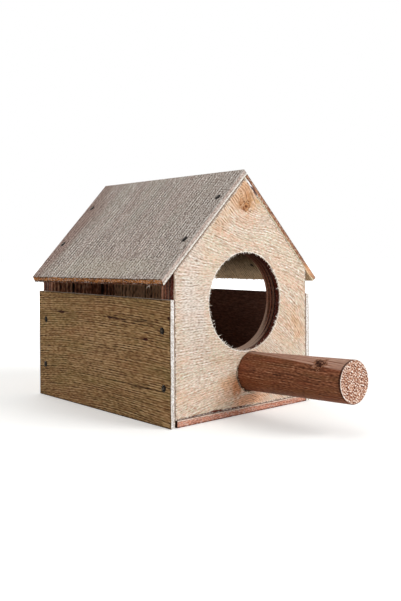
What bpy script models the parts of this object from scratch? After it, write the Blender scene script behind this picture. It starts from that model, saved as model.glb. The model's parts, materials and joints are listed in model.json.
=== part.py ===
"""Plywood bird nest box with a gabled roof, a round entrance and a push-in dowel perch.

Two thick gable panels stand on a thin floor. Thin side panels are nailed to their edges and stop
short of the eaves, which leaves a vent gap along each side. Two roof boards are nailed to the
slopes of the gables, and the left one laps over the top edge of the right one. A thick dowel is
pushed into a bore just under the entrance.

Metres, +Z up. The front faces -Y and the left side faces -X. The origin is the middle of the
floor's underside.
"""

import math
from typing import NamedTuple

import bmesh
import bpy
from mathutils import Matrix, Vector

MM = 0.001

# Clearance left between two pieces that touch
GAP = 0.3 * MM

# How far a cutter runs past the face that it leaves
CUT_OVERRUN = 2 * MM

# Edges that turn by less than this are shaded smooth
SMOOTH_ANGLE = math.radians(35)

# Gable panels, front and back
GABLE_WIDTH = 110 * MM
GABLE_PLY = 12 * MM
SHOULDER_HEIGHT = 87.1 * MM
APEX_HEIGHT = 143.2 * MM
BOX_DEPTH = 147 * MM

# Side panels, which leave a vent under each eave
SIDE_PLY = 3 * MM
LEFT_VENT_HEIGHT = 15.1 * MM
RIGHT_VENT_HEIGHT = 16.1 * MM

# Floor, cut a little short at its left end
FLOOR_PLY = 4 * MM
FLOOR_LEFT_SHORTFALL = 1.2 * MM

# Roof boards, hand cut out of square: longer down the slope at the rear, and with a rear edge that
# runs from past the back panel at the ridge to short of it at the eave
ROOF_PLY = 3.6 * MM
ROOF_SLOPE_FRONT = 91 * MM
LEFT_ROOF_SLOPE_REAR = 93.3 * MM
RIGHT_ROOF_SLOPE_REAR = 92 * MM
ROOF_FRONT_SETBACK = 0.8 * MM
ROOF_RIDGE_OVERHANG = 4.3 * MM
ROOF_EAVE_SHORTFALL = 3.8 * MM

# How far the saw leaned at each eave: a board's underside ends this much lower down the slope than
# its top face, or higher up where the lean is below zero
LEFT_EAVE_LEAN = 1.3 * MM
RIGHT_EAVE_LEAN = -0.8 * MM

# Entrance hole, which sits just over the perch's bore
ENTRANCE_DIAMETER = 60 * MM
ENTRANCE_OFFSET = 0.5 * MM
ENTRANCE_TO_BORE_WEB = 0.8 * MM
ENTRANCE_SIDES = 96

# Perch and its bore, drilled a little off square
PERCH_DIAMETER = 24 * MM
PERCH_REACH = 81 * MM
PERCH_HEIGHT = 25.4 * MM
PERCH_OFFSET = 5.4 * MM
PERCH_CHAMFER = 0.5 * MM
PERCH_SIDES = 48
PERCH_RISE = math.radians(2.7)
PERCH_SWING = math.radians(2.4)

# Nails
NAIL_LENGTH = 20 * MM
NAIL_SHANK_DIAMETER = 1.6 * MM
NAIL_HEAD_DIAMETER = 3.4 * MM
NAIL_HEAD_THICKNESS = 1 * MM
NAIL_HEAD_CROWN = 0.35 * MM
NAIL_POINT_LENGTH = 3 * MM
NAIL_HEAD_PROUD = 0.25 * MM
FLOOR_NAIL_SET = 0.3 * MM
NAIL_SIDES = 12

# Nail places: a share of the board's height or slope, and a share of the gable's thickness,
# counted from the gable's outer face
SIDE_NAIL_SHARES = {
    "front_low": (0.306, 0.52),
    "front_high": (0.756, 0.63),
    "back_low": (0.3, 0.66),
    "back_high": (0.729, 0.75),
}
ROOF_NAIL_SHARES = {
    "front_high": (0.265, 0.51),
    "front_low": (0.655, 0.62),
    "back_high": (0.275, 0.35),
    "back_low": (0.682, 0.57),
}
FLOOR_NAIL_SHARES = {
    "front_left": (-0.3, 0.5),
    "front_right": (0.3, 0.5),
    "back_left": (-0.3, 0.5),
    "back_right": (0.3, 0.5),
}

# Finishes: linear colour, roughness and metallic
BIRCH_VENEER = ((0.73, 0.58, 0.42), 0.6, 0.0)
OLIVE_VENEER = ((0.29, 0.20, 0.10), 0.65, 0.0)
GREY_VENEER = ((0.33, 0.29, 0.25), 0.7, 0.0)
RED_VENEER = ((0.36, 0.17, 0.10), 0.65, 0.0)
DOWEL_WOOD = ((0.38, 0.21, 0.12), 0.55, 0.0)
NAIL_STEEL = ((0.23, 0.22, 0.21), 0.4, 1.0)

# Worked out from the sizes above
HALF_WIDTH = GABLE_WIDTH / 2
HALF_DEPTH = BOX_DEPTH / 2
GABLE_FOOT = FLOOR_PLY + GAP
SLOPE_ANGLE = math.atan2(APEX_HEIGHT - SHOULDER_HEIGHT, HALF_WIDTH)
RIDGE_HEIGHT = APEX_HEIGHT + (GAP + ROOF_PLY) / math.cos(SLOPE_ANGLE)
SIDE_INNER_FACE = HALF_WIDTH + GAP
SIDE_OUTER_FACE = SIDE_INNER_FACE + SIDE_PLY
BORE_TOP = PERCH_HEIGHT + PERCH_DIAMETER / 2 + GAP
ENTRANCE_HEIGHT = BORE_TOP + ENTRANCE_TO_BORE_WEB + ENTRANCE_DIAMETER / 2
ROOF_LAP = ROOF_PLY + GAP


class Side(NamedTuple):
    """What differs between the left and the right of the box. The sign is -1 on the left and 1 on
    the right, and roof_top is where the roof board starts, down the slope from the ridge."""

    label: str
    sign: int
    panel_height: float
    roof_top: float
    roof_slope_rear: float
    eave_lean: float


LEFT_PANEL_HEIGHT = SHOULDER_HEIGHT - LEFT_VENT_HEIGHT
RIGHT_PANEL_HEIGHT = SHOULDER_HEIGHT - RIGHT_VENT_HEIGHT
LEFT = Side("left", -1, LEFT_PANEL_HEIGHT, 0, LEFT_ROOF_SLOPE_REAR, LEFT_EAVE_LEAN)
RIGHT = Side("right", 1, RIGHT_PANEL_HEIGHT, ROOF_LAP, RIGHT_ROOF_SLOPE_REAR, RIGHT_EAVE_LEAN)


def clear_scene():
    """Remove every object, so that only the model is left."""
    for obj in list(bpy.data.objects):
        bpy.data.objects.remove(obj, do_unlink=True)


def add_object(name, mesh, parent, place=Matrix()):
    """Link an object with this mesh under its parent, at this place in the world."""
    obj = bpy.data.objects.new(name, mesh)
    bpy.context.scene.collection.objects.link(obj)
    obj.parent = parent
    obj.matrix_world = place
    return obj


def add_empty(name, place=Matrix()):
    """Link an empty that carries other pieces."""
    empty = bpy.data.objects.new(name, None)
    bpy.context.scene.collection.objects.link(empty)
    empty.matrix_world = place
    return empty


def give_finish(obj, finish):
    """Give the object a material of its own with this colour, roughness and metallic value."""
    colour, roughness, metallic = finish
    material = bpy.data.materials.new(obj.name + "_finish")
    material.use_nodes = True
    shader = material.node_tree.nodes["Principled BSDF"]
    shader.inputs["Base Color"].default_value = (*colour, 1)
    shader.inputs["Roughness"].default_value = roughness
    shader.inputs["Metallic"].default_value = metallic
    material.diffuse_color = (*colour, 1)
    obj.data.materials.append(material)


def ringed_mesh(name, near_ring, far_ring):
    """Closed solid between two rings with the same number of points."""
    shape = bmesh.new()
    near = [shape.verts.new(point) for point in near_ring]
    far = [shape.verts.new(point) for point in far_ring]
    shape.faces.new(near)
    shape.faces.new(reversed(far))
    for i in range(len(near)):
        j = (i + 1) % len(near)
        shape.faces.new((near[j], near[i], far[i], far[j]))
    bmesh.ops.recalc_face_normals(shape, faces=shape.faces)
    mesh = bpy.data.meshes.new(name)
    shape.to_mesh(mesh)
    shape.free()
    return mesh


def prism_mesh(name, outline, near_y, far_y):
    """Closed prism of an outline in (x, z) pairs, between two planes of constant Y."""
    near_ring = [(x, near_y, z) for x, z in outline]
    far_ring = [(x, far_y, z) for x, z in outline]
    return ringed_mesh(name, near_ring, far_ring)


def turned_mesh(name, profile, sides):
    """Closed solid turned about local Z. The profile is (radius, z) pairs from one end of the axis
    to the other, and a radius of zero closes the end in a point."""
    shape = bmesh.new()
    rings = []
    for radius, z in profile:
        if radius == 0:
            rings.append([shape.verts.new((0, 0, z))])
            continue
        turns = [math.tau * i / sides for i in range(sides)]
        ring = [(radius * math.cos(turn), radius * math.sin(turn), z) for turn in turns]
        rings.append([shape.verts.new(point) for point in ring])
    for lower, upper in zip(rings, rings[1:]):
        for i in range(sides):
            j = (i + 1) % sides
            corners = [lower[i % len(lower)], lower[j % len(lower)]]
            corners += [upper[j % len(upper)], upper[i % len(upper)]]
            shape.faces.new(list(dict.fromkeys(corners)))
    for ring in (rings[0], rings[-1]):
        if len(ring) > 1:
            shape.faces.new(ring)
    bmesh.ops.recalc_face_normals(shape, faces=shape.faces)
    mesh = bpy.data.meshes.new(name)
    shape.to_mesh(mesh)
    shape.free()
    mesh.shade_smooth()
    mesh.set_sharp_from_angle(angle=SMOOTH_ANGLE)
    return mesh


def facing(point, outward):
    """Place whose local +Z points along outward from this point."""
    turn = Vector(outward).to_track_quat("Z", "Y").to_matrix().to_4x4()
    return Matrix.Translation(point) @ turn


def make_cutter(name, mesh, parent, place):
    """Object that only cuts, drawn as a wire and left out of the render."""
    cutter = add_object(name, mesh, parent, place)
    cutter.hide_render = True
    cutter.display_type = "WIRE"
    return cutter


def cut(obj, cutter):
    """Subtract the cutter from the object."""
    modifier = obj.modifiers.new(cutter.name, "BOOLEAN")
    modifier.operation = "DIFFERENCE"
    modifier.solver = "EXACT"
    modifier.object = cutter


def gable_y(share, at_back):
    """Y at this share of a gable panel's thickness, counted from its outer face."""
    inset = HALF_DEPTH - share * GABLE_PLY
    return inset if at_back else -inset


def roof_point(sign, slope, depth):
    """(x, z) on one side of the roof, at this distance down the slope from the ridge and this depth
    below the roof's top face."""
    across = slope * math.cos(SLOPE_ANGLE) - depth * math.sin(SLOPE_ANGLE)
    drop = slope * math.sin(SLOPE_ANGLE) + depth * math.cos(SLOPE_ANGLE)
    return sign * across, RIDGE_HEIGHT - drop


def build_gable(name, parent, outer_y, inner_y):
    """Gable panel: upright sides to the shoulders, then two slopes up to the apex."""
    outline = [
        (-HALF_WIDTH, GABLE_FOOT),
        (HALF_WIDTH, GABLE_FOOT),
        (HALF_WIDTH, SHOULDER_HEIGHT),
        (0, APEX_HEIGHT),
        (-HALF_WIDTH, SHOULDER_HEIGHT),
    ]
    panel = add_object(name, prism_mesh(name, outline, outer_y, inner_y), parent)
    give_finish(panel, BIRCH_VENEER)
    return panel


def build_side_panel(side, parent):
    """Thin upright panel against the edges of both gables."""
    name = f"{side.label}_side_panel"
    inner, outer = side.sign * SIDE_INNER_FACE, side.sign * SIDE_OUTER_FACE
    top = side.panel_height
    outline = [(inner, 0), (outer, 0), (outer, top), (inner, top)]
    panel = add_object(name, prism_mesh(name, outline, -HALF_DEPTH, HALF_DEPTH), parent)
    give_finish(panel, OLIVE_VENEER)
    return panel


def build_floor(parent):
    """Floor panel under both gables and between the side panels."""
    left, right = -HALF_WIDTH + FLOOR_LEFT_SHORTFALL, HALF_WIDTH
    outline = [(left, 0), (right, 0), (right, FLOOR_PLY), (left, FLOOR_PLY)]
    mesh = prism_mesh("floor_panel", outline, -HALF_DEPTH, HALF_DEPTH)
    panel = add_object("floor_panel", mesh, parent)
    give_finish(panel, RED_VENEER)
    return panel


def roof_ring(side, length, y_at_ridge, y_at_eave):
    """Four corners of one end of a roof board, from its top edge down this length of slope."""
    eave = side.roof_top + length
    corners = (
        (side.roof_top, 0, y_at_ridge),
        (eave, 0, y_at_eave),
        (eave + side.eave_lean, ROOF_PLY, y_at_eave),
        (side.roof_top, ROOF_PLY, y_at_ridge),
    )
    ring = []
    for slope, depth, y in corners:
        x, z = roof_point(side.sign, slope, depth)
        ring.append((x, y, z))
    return ring


def build_roof_board(side, parent):
    """Roof board from its top edge at or by the ridge down to the eave."""
    name = f"{side.label}_roof_board"
    front_y = -HALF_DEPTH + ROOF_FRONT_SETBACK
    rear_ridge_y = HALF_DEPTH + ROOF_RIDGE_OVERHANG
    rear_eave_y = HALF_DEPTH - ROOF_EAVE_SHORTFALL
    front = roof_ring(side, ROOF_SLOPE_FRONT, front_y, front_y)
    rear = roof_ring(side, side.roof_slope_rear, rear_ridge_y, rear_eave_y)
    board = add_object(name, ringed_mesh(name, front, rear), parent)
    give_finish(board, GREY_VENEER)
    return board


def nail_profile():
    """Turned outline of a nail, from its point to the crown of its head. The crown is at z = 0."""
    shank, head = NAIL_SHANK_DIAMETER / 2, NAIL_HEAD_DIAMETER / 2
    under_head = -NAIL_HEAD_THICKNESS
    rim = -NAIL_HEAD_CROWN
    crown_shares = ((0.85, 0.25), (0.5, 0.75))
    crown = [(head * across, rim * (1 - up)) for across, up in crown_shares]
    return [
        (0, -NAIL_LENGTH),
        (shank, NAIL_POINT_LENGTH - NAIL_LENGTH),
        (shank, under_head),
        (head, under_head),
        (head, rim),
        *crown,
        (0, 0),
    ]


def nail_hole_profile(sunk):
    """Turned outline of the hole that a nail stands in, with the clearance all round it. The
    board's face is at z = 0, and the nail's crown is at z = -sunk."""
    shank = NAIL_SHANK_DIAMETER / 2 + GAP
    head = NAIL_HEAD_DIAMETER / 2 + GAP
    under_head = -sunk - NAIL_HEAD_THICKNESS - GAP
    bottom = -sunk - NAIL_LENGTH - GAP
    return [(shank, bottom), (shank, under_head), (head, under_head), (head, CUT_OVERRUN)]


def drive_nail(name, parent, point, outward, sunk, boards):
    """Nail at this point of a face, with its hole cut through each of the boards."""
    place = facing(point, outward)
    nail_mesh = turned_mesh(name, nail_profile(), NAIL_SIDES)
    nail = add_object(name, nail_mesh, parent, place @ Matrix.Translation((0, 0, -sunk)))
    give_finish(nail, NAIL_STEEL)
    hole_mesh = turned_mesh(name + "_hole", nail_hole_profile(sunk), NAIL_SIDES)
    hole = make_cutter(name + "_hole", hole_mesh, parent, place)
    for board in boards:
        cut(board, hole)


def drive_side_nails(side, parent, panel, gables):
    """Four nails through a side panel into the edges of the gables."""
    for spot, (height_share, ply_share) in SIDE_NAIL_SHARES.items():
        at_back = spot.startswith("back")
        height = height_share * side.panel_height
        point = (side.sign * SIDE_OUTER_FACE, gable_y(ply_share, at_back), height)
        name = f"{side.label}_side_nail_{spot}"
        boards = (panel, gables[at_back])
        drive_nail(name, parent, point, (side.sign, 0, 0), -NAIL_HEAD_PROUD, boards)


def drive_roof_nails(side, parent, board, gables):
    """Four nails through a roof board into the slopes of the gables."""
    outward = (side.sign * math.sin(SLOPE_ANGLE), 0, math.cos(SLOPE_ANGLE))
    for spot, (slope_share, ply_share) in ROOF_NAIL_SHARES.items():
        at_back = spot.startswith("back")
        x, z = roof_point(side.sign, side.roof_top + slope_share * ROOF_SLOPE_FRONT, 0)
        point = (x, gable_y(ply_share, at_back), z)
        name = f"{side.label}_roof_nail_{spot}"
        boards = (board, gables[at_back])
        drive_nail(name, parent, point, outward, -NAIL_HEAD_PROUD, boards)


def drive_floor_nails(parent, floor, gables):
    """Four nails up through the floor into the feet of the gables, set below its underside."""
    for spot, (width_share, ply_share) in FLOOR_NAIL_SHARES.items():
        at_back = spot.startswith("back")
        point = (width_share * GABLE_WIDTH, gable_y(ply_share, at_back), 0)
        boards = (floor, gables[at_back])
        drive_nail(f"floor_nail_{spot}", parent, point, (0, 0, -1), FLOOR_NAIL_SET, boards)


def cut_entrance(front_panel, parent):
    """Round entrance, straight through the front panel."""
    half_length = GABLE_PLY / 2 + CUT_OVERRUN
    radius = ENTRANCE_DIAMETER / 2
    profile = [(radius, -half_length), (radius, half_length)]
    mesh = turned_mesh("entrance_cutter", profile, ENTRANCE_SIDES)
    middle = (ENTRANCE_OFFSET, -HALF_DEPTH + GABLE_PLY / 2, ENTRANCE_HEIGHT)
    cut(front_panel, make_cutter("entrance_cutter", mesh, parent, facing(middle, (0, -1, 0))))


def build_perch(front_panel, parent):
    """Dowel perch on an empty that marks its axis, and its bore in the front panel. The dowel's
    inner end stops at the front panel's inner face."""
    outward = (
        -math.sin(PERCH_SWING) * math.cos(PERCH_RISE),
        -math.cos(PERCH_SWING) * math.cos(PERCH_RISE),
        math.sin(PERCH_RISE),
    )
    place = facing((PERCH_OFFSET, -HALF_DEPTH, PERCH_HEIGHT), outward)
    axis = add_empty("perch_axis", place)
    radius = PERCH_DIAMETER / 2
    inner_end, outer_end = -GABLE_PLY, PERCH_REACH
    profile = [
        (radius - PERCH_CHAMFER, inner_end),
        (radius, inner_end + PERCH_CHAMFER),
        (radius, outer_end - PERCH_CHAMFER),
        (radius - PERCH_CHAMFER, outer_end),
    ]
    perch = add_object("perch", turned_mesh("perch", profile, PERCH_SIDES), axis, place)
    give_finish(perch, DOWEL_WOOD)
    bore_radius = radius + GAP
    bore_ends = [
        (bore_radius, inner_end - CUT_OVERRUN),
        (bore_radius, CUT_OVERRUN),
    ]
    bore_mesh = turned_mesh("perch_bore_cutter", bore_ends, PERCH_SIDES)
    cut(front_panel, make_cutter("perch_bore_cutter", bore_mesh, parent, place))


def main():
    """Build the box, then drive its nails."""
    clear_scene()
    box = add_empty("nest_box")
    front_panel = build_gable("front_panel", box, -HALF_DEPTH, GABLE_PLY - HALF_DEPTH)
    back_panel = build_gable("back_panel", box, HALF_DEPTH - GABLE_PLY, HALF_DEPTH)
    gables = (front_panel, back_panel)
    cut_entrance(front_panel, box)
    build_perch(front_panel, box)
    floor = build_floor(box)
    drive_floor_nails(box, floor, gables)
    for side in (LEFT, RIGHT):
        panel = build_side_panel(side, box)
        drive_side_nails(side, box, panel, gables)
        board = build_roof_board(side, box)
        drive_roof_nails(side, box, board, gables)


main()
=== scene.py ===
"""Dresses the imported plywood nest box: veneers, sawn edges, torn fibres, a dowel perch and nails.

Everything is in the row frame: metres, +Z up, the front faces -Y and the left side faces -X.
Sizes in the classes are millimetres, and so are the sizes of the patterns.
"""

import json
import logging
import math
import random
from dataclasses import dataclass, replace
from enum import Enum
from typing import Callable, Optional, Sequence, Union

import bmesh
import bpy
from mathutils import Matrix, Vector, noise

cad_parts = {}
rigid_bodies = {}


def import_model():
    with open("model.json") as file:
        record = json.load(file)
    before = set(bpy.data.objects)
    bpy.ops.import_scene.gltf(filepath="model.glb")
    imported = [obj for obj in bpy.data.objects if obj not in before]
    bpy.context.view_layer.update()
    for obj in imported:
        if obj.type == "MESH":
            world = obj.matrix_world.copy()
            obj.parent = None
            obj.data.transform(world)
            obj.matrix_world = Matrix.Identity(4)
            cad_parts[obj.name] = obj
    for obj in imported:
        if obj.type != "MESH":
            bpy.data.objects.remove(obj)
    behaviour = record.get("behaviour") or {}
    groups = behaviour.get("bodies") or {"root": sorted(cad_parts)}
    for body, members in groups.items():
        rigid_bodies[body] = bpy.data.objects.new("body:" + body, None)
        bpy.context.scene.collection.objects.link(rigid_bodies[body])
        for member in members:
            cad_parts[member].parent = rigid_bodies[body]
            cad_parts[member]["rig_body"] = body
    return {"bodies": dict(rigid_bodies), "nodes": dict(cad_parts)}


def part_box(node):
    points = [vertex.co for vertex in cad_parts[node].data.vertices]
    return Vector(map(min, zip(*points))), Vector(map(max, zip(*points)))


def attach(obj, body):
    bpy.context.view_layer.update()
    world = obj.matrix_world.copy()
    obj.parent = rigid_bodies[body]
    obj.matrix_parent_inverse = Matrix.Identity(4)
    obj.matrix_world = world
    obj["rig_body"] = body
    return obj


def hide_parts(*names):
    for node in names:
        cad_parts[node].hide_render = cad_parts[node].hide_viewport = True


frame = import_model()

LOG = logging.getLogger("nest_box")
MM = 0.001
X_AXIS, Y_AXIS, Z_AXIS = Vector((1, 0, 0)), Vector((0, 1, 0)), Vector((0, 0, 1))

# Driving sizes that the frame's boxes don't give, in millimetres, as in the part's source
SHOULDER_HEIGHT = 87.1
GABLE_PLY = 12.0
ENTRANCE_RADIUS = 30.0
ENTRANCE_MIDDLE = (0.5, 68.5)
PERCH_RADIUS = 12.0
PERCH_REACH = 81.0
PERCH_BASE = (5.4, -73.5, 25.4)
PERCH_RISE = math.radians(2.7)
PERCH_SWING = math.radians(2.4)

# Bare wood hardly shines: a stronger sheen would lay a grey haze over its darks
SHEEN = 0.06
# Size of a face's pattern through its board, in millimetres: so large that its depth hardly counts
DEEP = 60.0
# Reach that leaves an axis out of a distance
FAR = 1e6
WHITE = "#FFFFFF"

Socket = bpy.types.NodeSocket
Value = Union[Socket, float, Sequence[float]]
Inputs = Union[dict[Union[int, str], Value], Sequence[Value]]
Look = tuple[Socket, Socket]


class Hand(Enum):
    """The box's two sides, as the sign of x."""

    LEFT = -1
    RIGHT = 1

    def name_of(self, piece: str) -> str:
        """Name of this side's piece."""
        return f"{self.name.lower()}_{piece}"


def linear(shade: str) -> tuple[float, ...]:
    """Turns an sRGB hex colour, a hash and six digits, into linear RGBA with an alpha of one."""
    parts = [int(shade[i : i + 2], 16) / 255 for i in (1, 3, 5)]
    return (*[p / 12.92 if p <= 0.04045 else ((p + 0.055) / 1.055) ** 2.4 for p in parts], 1.0)


def corners_mm(name: str) -> tuple[Vector, Vector]:
    """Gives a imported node's lowest and highest corners in millimetres."""
    low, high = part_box(name)
    return low / MM, high / MM


def edge_planes(name: str, *axes: Vector) -> list[tuple[Vector, float]]:
    """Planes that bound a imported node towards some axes: the axis and the place in millimetres."""
    corners = corners_mm(name)
    return [(axis, max(axis.dot(corner) for corner in corners)) for axis in axes]


def outermost(name: str, outward: Vector) -> Vector:
    """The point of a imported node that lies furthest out, in metres."""
    return max((v.co for v in frame["nodes"][name].data.vertices), key=outward.dot).copy()


def roof_axes(hand: Hand) -> tuple[Vector, Vector]:
    """Gives a roof board's directions, from the gable's apex, shoulder and half width.

    Args:
        hand: Which board.

    Returns:
        Unit vectors down the slope and out of its upper face.
    """
    _, high = corners_mm("back_panel")
    slope = math.atan2(high.z - SHOULDER_HEIGHT, high.x)
    across, rise = hand.value * math.cos(slope), math.sin(slope)
    return Vector((across, 0, -rise)), Vector((hand.value * rise, 0, math.cos(slope)))


def clear_startup() -> None:
    """Removes what Blender starts with, so that only the frame is left."""
    for obj in list(bpy.data.objects):
        if "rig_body" not in obj and obj not in frame["bodies"].values():
            bpy.data.objects.remove(obj, do_unlink=True)


def aimed(place: Vector, axis: Vector) -> Matrix:
    """Frame that stands at a place, in metres, with its Z along an axis."""
    return Matrix.Translation(place) @ axis.to_track_quat("Z", "Y").to_matrix().to_4x4()


def link_new(name: str, data: bpy.types.ID) -> bpy.types.Object:
    """Adds an object for a mesh, a lamp or a camera to the scene."""
    bpy.context.scene.collection.objects.link(obj := bpy.data.objects.new(name, data))
    return obj


def link_piece(
    name: str, shape: bmesh.types.BMesh, body: str, finish: bpy.types.Material, sharp: float = 0.0
) -> bpy.types.Object:
    """Turns a shape into a piece that rides on a body.

    Args:
        name: The piece's name.
        shape: Its mesh, in metres. It is freed.
        body: The body that carries it.
        finish: Its material.
        sharp: Degrees from which an edge stays sharp on a rounded piece.

    Returns:
        The piece.
    """
    bmesh.ops.recalc_face_normals(shape, faces=shape.faces)
    mesh = bpy.data.meshes.new(name)
    shape.to_mesh(mesh)
    shape.free()
    mesh.materials.append(finish)
    if sharp:
        mesh.shade_smooth()
        mesh.set_sharp_from_angle(angle=math.radians(sharp))
    piece = link_new(name, mesh)
    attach(piece, body)
    LOG.info("built %s, %d faces", name, len(mesh.polygons))
    return piece


def add_rings(shape: bmesh.types.BMesh, rings: Sequence[Sequence[Vector]]) -> None:
    """Adds rings of points joined by quads, with the first and the last closed.

    Args:
        shape: The mesh.
        rings: Rings of as many points each, in metres.
    """
    made = [[shape.verts.new(point) for point in ring] for ring in rings]
    for lower, upper in zip(made, made[1:]):
        for i in range(len(lower)):
            j = (i + 1) % len(lower)
            shape.faces.new((lower[i], lower[j], upper[j], upper[i]))
    for end in (made[0], made[-1]):
        shape.faces.new(end)


def fill(tree: bpy.types.NodeTree, node: bpy.types.Node, inputs: Inputs) -> None:
    """Links sockets to a node's inputs and sets plain values on them.

    Args:
        tree: The node tree.
        node: The node.
        inputs: A socket or a plain value for each input, in turn or by name.
    """
    for key, value in inputs.items() if isinstance(inputs, dict) else enumerate(inputs):
        if isinstance(value, Socket):
            tree.links.new(value, node.inputs[key])
        else:
            node.inputs[key].default_value = value


def add_node(
    tree: bpy.types.NodeTree, kind: str, inputs: Inputs = (), out: Union[int, str] = 0,
    stops: Sequence[tuple[float, str]] = (), **settings: object,
) -> Socket:
    """Adds a node with its settings and links.

    Args:
        tree: The node tree.
        kind: The node's type without the leading ShaderNode, then its operation if it has one.
        inputs: A socket to link or a plain value for each input, in turn or by name.
        out: The output to return.
        stops: Places and hex colours of a colour ramp.
        **settings: The node's own settings.

    Returns:
        The chosen output socket.
    """
    kind, *operation = kind.split()
    node = tree.nodes.new("ShaderNode" + kind)
    for name, setting in (*settings.items(), *(("operation", word) for word in operation)):
        setattr(node, name, setting)
    for index, (position, shade) in enumerate(stops):
        elements = node.color_ramp.elements
        element = elements[index] if index < 2 else elements.new(position)
        element.position = position
        element.color = linear(shade)
    fill(tree, node, inputs)
    return node.outputs[out]


class Shader:
    """A material built up node by node, over the object's own place in millimetres."""

    def __init__(self, name: str) -> None:
        """Starts a material.

        Args:
            name: The real material and how its surface was made.
        """
        self.material = bpy.data.materials.new(name)
        self.material.use_nodes = True
        self.tree = self.material.node_tree
        self.surface = self.tree.nodes["Principled BSDF"]
        self.join({"Specular IOR Level": SHEEN})
        metres = self.add("TexCoord", out="Object")
        self.normal = self.add("TexCoord", out="Normal")
        self.place = self.add("VectorMath SCALE", {0: metres, "Scale": 1 / MM})

    def add(self, kind: str, inputs: Inputs = (), **others: object) -> Socket:
        """Adds a node to this material, as add_node does."""
        return add_node(self.tree, kind, inputs, **others)

    def join(self, inputs: Inputs) -> None:
        """Joins sockets and plain values to the surface."""
        fill(self.tree, self.surface, inputs)

    def local(self, axes: Sequence[Vector], start: Sequence[float]) -> Socket:
        """Place along three unit axes of a piece's own, in millimetres from where each reads zero."""
        parts = [self.add("VectorMath DOT_PRODUCT", (self.place, axis), out="Value") for axis in axes]
        return self.add("VectorMath SUBTRACT", (self.add("CombineXYZ", parts), start))

    def facing(self, axis: Vector) -> Socket:
        """Mask that is 1 on the faces that are turned to an axis, and 0 elsewhere."""
        turn = self.add("VectorMath DOT_PRODUCT", (self.normal, axis), out="Value")
        return self.add("MapRange", {"Value": turn, "From Min": 0.75, "From Max": 0.9})

    def cloud(
        self, place: Socket, size: Sequence[float], seed: float, detail: float = 0.0, low: float = 0.3,
        high: float = 0.7,
    ) -> Socket:
        """Soft random pattern from 0 to 1, whose waves are about twice its size long.

        Args:
            place: Where, in millimetres.
            size: Size of the pattern along each axis of place, in millimetres.
            seed: Moves the pattern, so that no two are alike.
            detail: Finer layers on top of the first.
            low: The noise value that becomes 0.
            high: The noise value that becomes 1.

        Returns:
            The pattern's value.
        """
        shift = (seed * 7.31, seed * 3.17, seed * 5.93)
        scaled = self.add("VectorMath MULTIPLY_ADD", (place, [1 / s for s in size], shift))
        value = self.add("TexNoise", {"Vector": scaled, "Scale": 1.0, "Detail": detail})
        return self.add("MapRange", {"Value": value, "From Min": low, "From Max": high})

    def total(self, parts: Sequence[tuple[Socket, float]], start: Value) -> Socket:
        """Adds up weighted values.

        Args:
            parts: Values with their weights.
            start: What the sum starts from.

        Returns:
            The sum.
        """
        for value, weight in parts:
            start = self.add("Math MULTIPLY_ADD", (value, weight, start))
        return start

    def paint(
        self, colour: Union[Value, str], shade: Union[Socket, str], value: Socket, strength: float,
        full: float = 1.0, none: float = 0.0,
    ) -> Socket:
        """Lays a shade over a colour, softly between two values.

        Args:
            colour: What is there, as a socket or a hex colour.
            shade: What goes on, as a socket or a hex colour.
            value: What says where.
            strength: How much of it.
            full: The value at which all of it goes on.
            none: The value at which none of it does.

        Returns:
            The new colour.
        """
        colour, over = (linear(c) if isinstance(c, str) else c for c in (colour, shade))
        limits = {"Value": value, "From Min": none, "From Max": full, "To Max": strength}
        amount = self.add("MapRange", limits, interpolation_type="SMOOTHSTEP")
        return self.add("Mix", {0: amount, 6: colour, 7: over}, out=2, data_type="RGBA")

    def distance(self, place: Socket, middle: Sequence[float], reach: Sequence[float]) -> Socket:
        """Distance of a place from a middle, where reach is what counts as 1 along each axis."""
        away = (self.add("VectorMath SUBTRACT", (place, middle)), [1 / r for r in reach])
        return self.add("VectorMath LENGTH", (self.add("VectorMath MULTIPLY", away),), out="Value")

    def cover(self, base: Look, looks: Sequence[tuple[Vector, Look]]) -> Look:
        """Puts looks on the faces that are turned to their axes.

        Args:
            base: The colour and height of the other faces.
            looks: Axes with the colour and the height that go there.

        Returns:
            The colour and the height.
        """
        colour, height = base
        for axis, (paint, relief) in looks:
            mask = self.facing(axis)
            colour = self.paint(colour, paint, mask, 1.0)
            height = self.add("Mix", {0: mask, 2: height, 3: relief}, data_type="FLOAT")
        return colour, height

    def finish(self, colour: Socket, roughness: Value, height: Socket, relief: float) -> bpy.types.Material:
        """Joins the colour, roughness and relief to the surface.

        Args:
            colour: The base colour.
            roughness: The roughness.
            height: The surface's height, from 0 to about 1.
            relief: What a height of 1 is, in millimetres.

        Returns:
            The finished material.
        """
        bump = self.add("Bump", {"Height": height, "Distance": relief * MM, "Strength": 1.0})
        self.join({"Base Color": colour, "Roughness": roughness, "Normal": bump})
        return self.material


Flow = Callable[[Shader, Socket], Value]


def even(shades: Sequence[str]) -> list[tuple[float, str]]:
    """Spaces colours evenly over a ramp."""
    return [(index / (len(shades) - 1), shade) for index, shade in enumerate(shades)]


@dataclass(frozen=True)
class Streaks:
    """Random streaks: width and length in millimetres, and their weight in the tone."""

    width: float
    length: float
    weight: float
    detail: float = 0.0

    def draw(self, shader: Shader, flow: Socket, seed: float) -> Socket:
        """Draws them, from 0 to 1."""
        return shader.cloud(flow, (self.length, self.width, DEEP), seed, self.detail)


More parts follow.
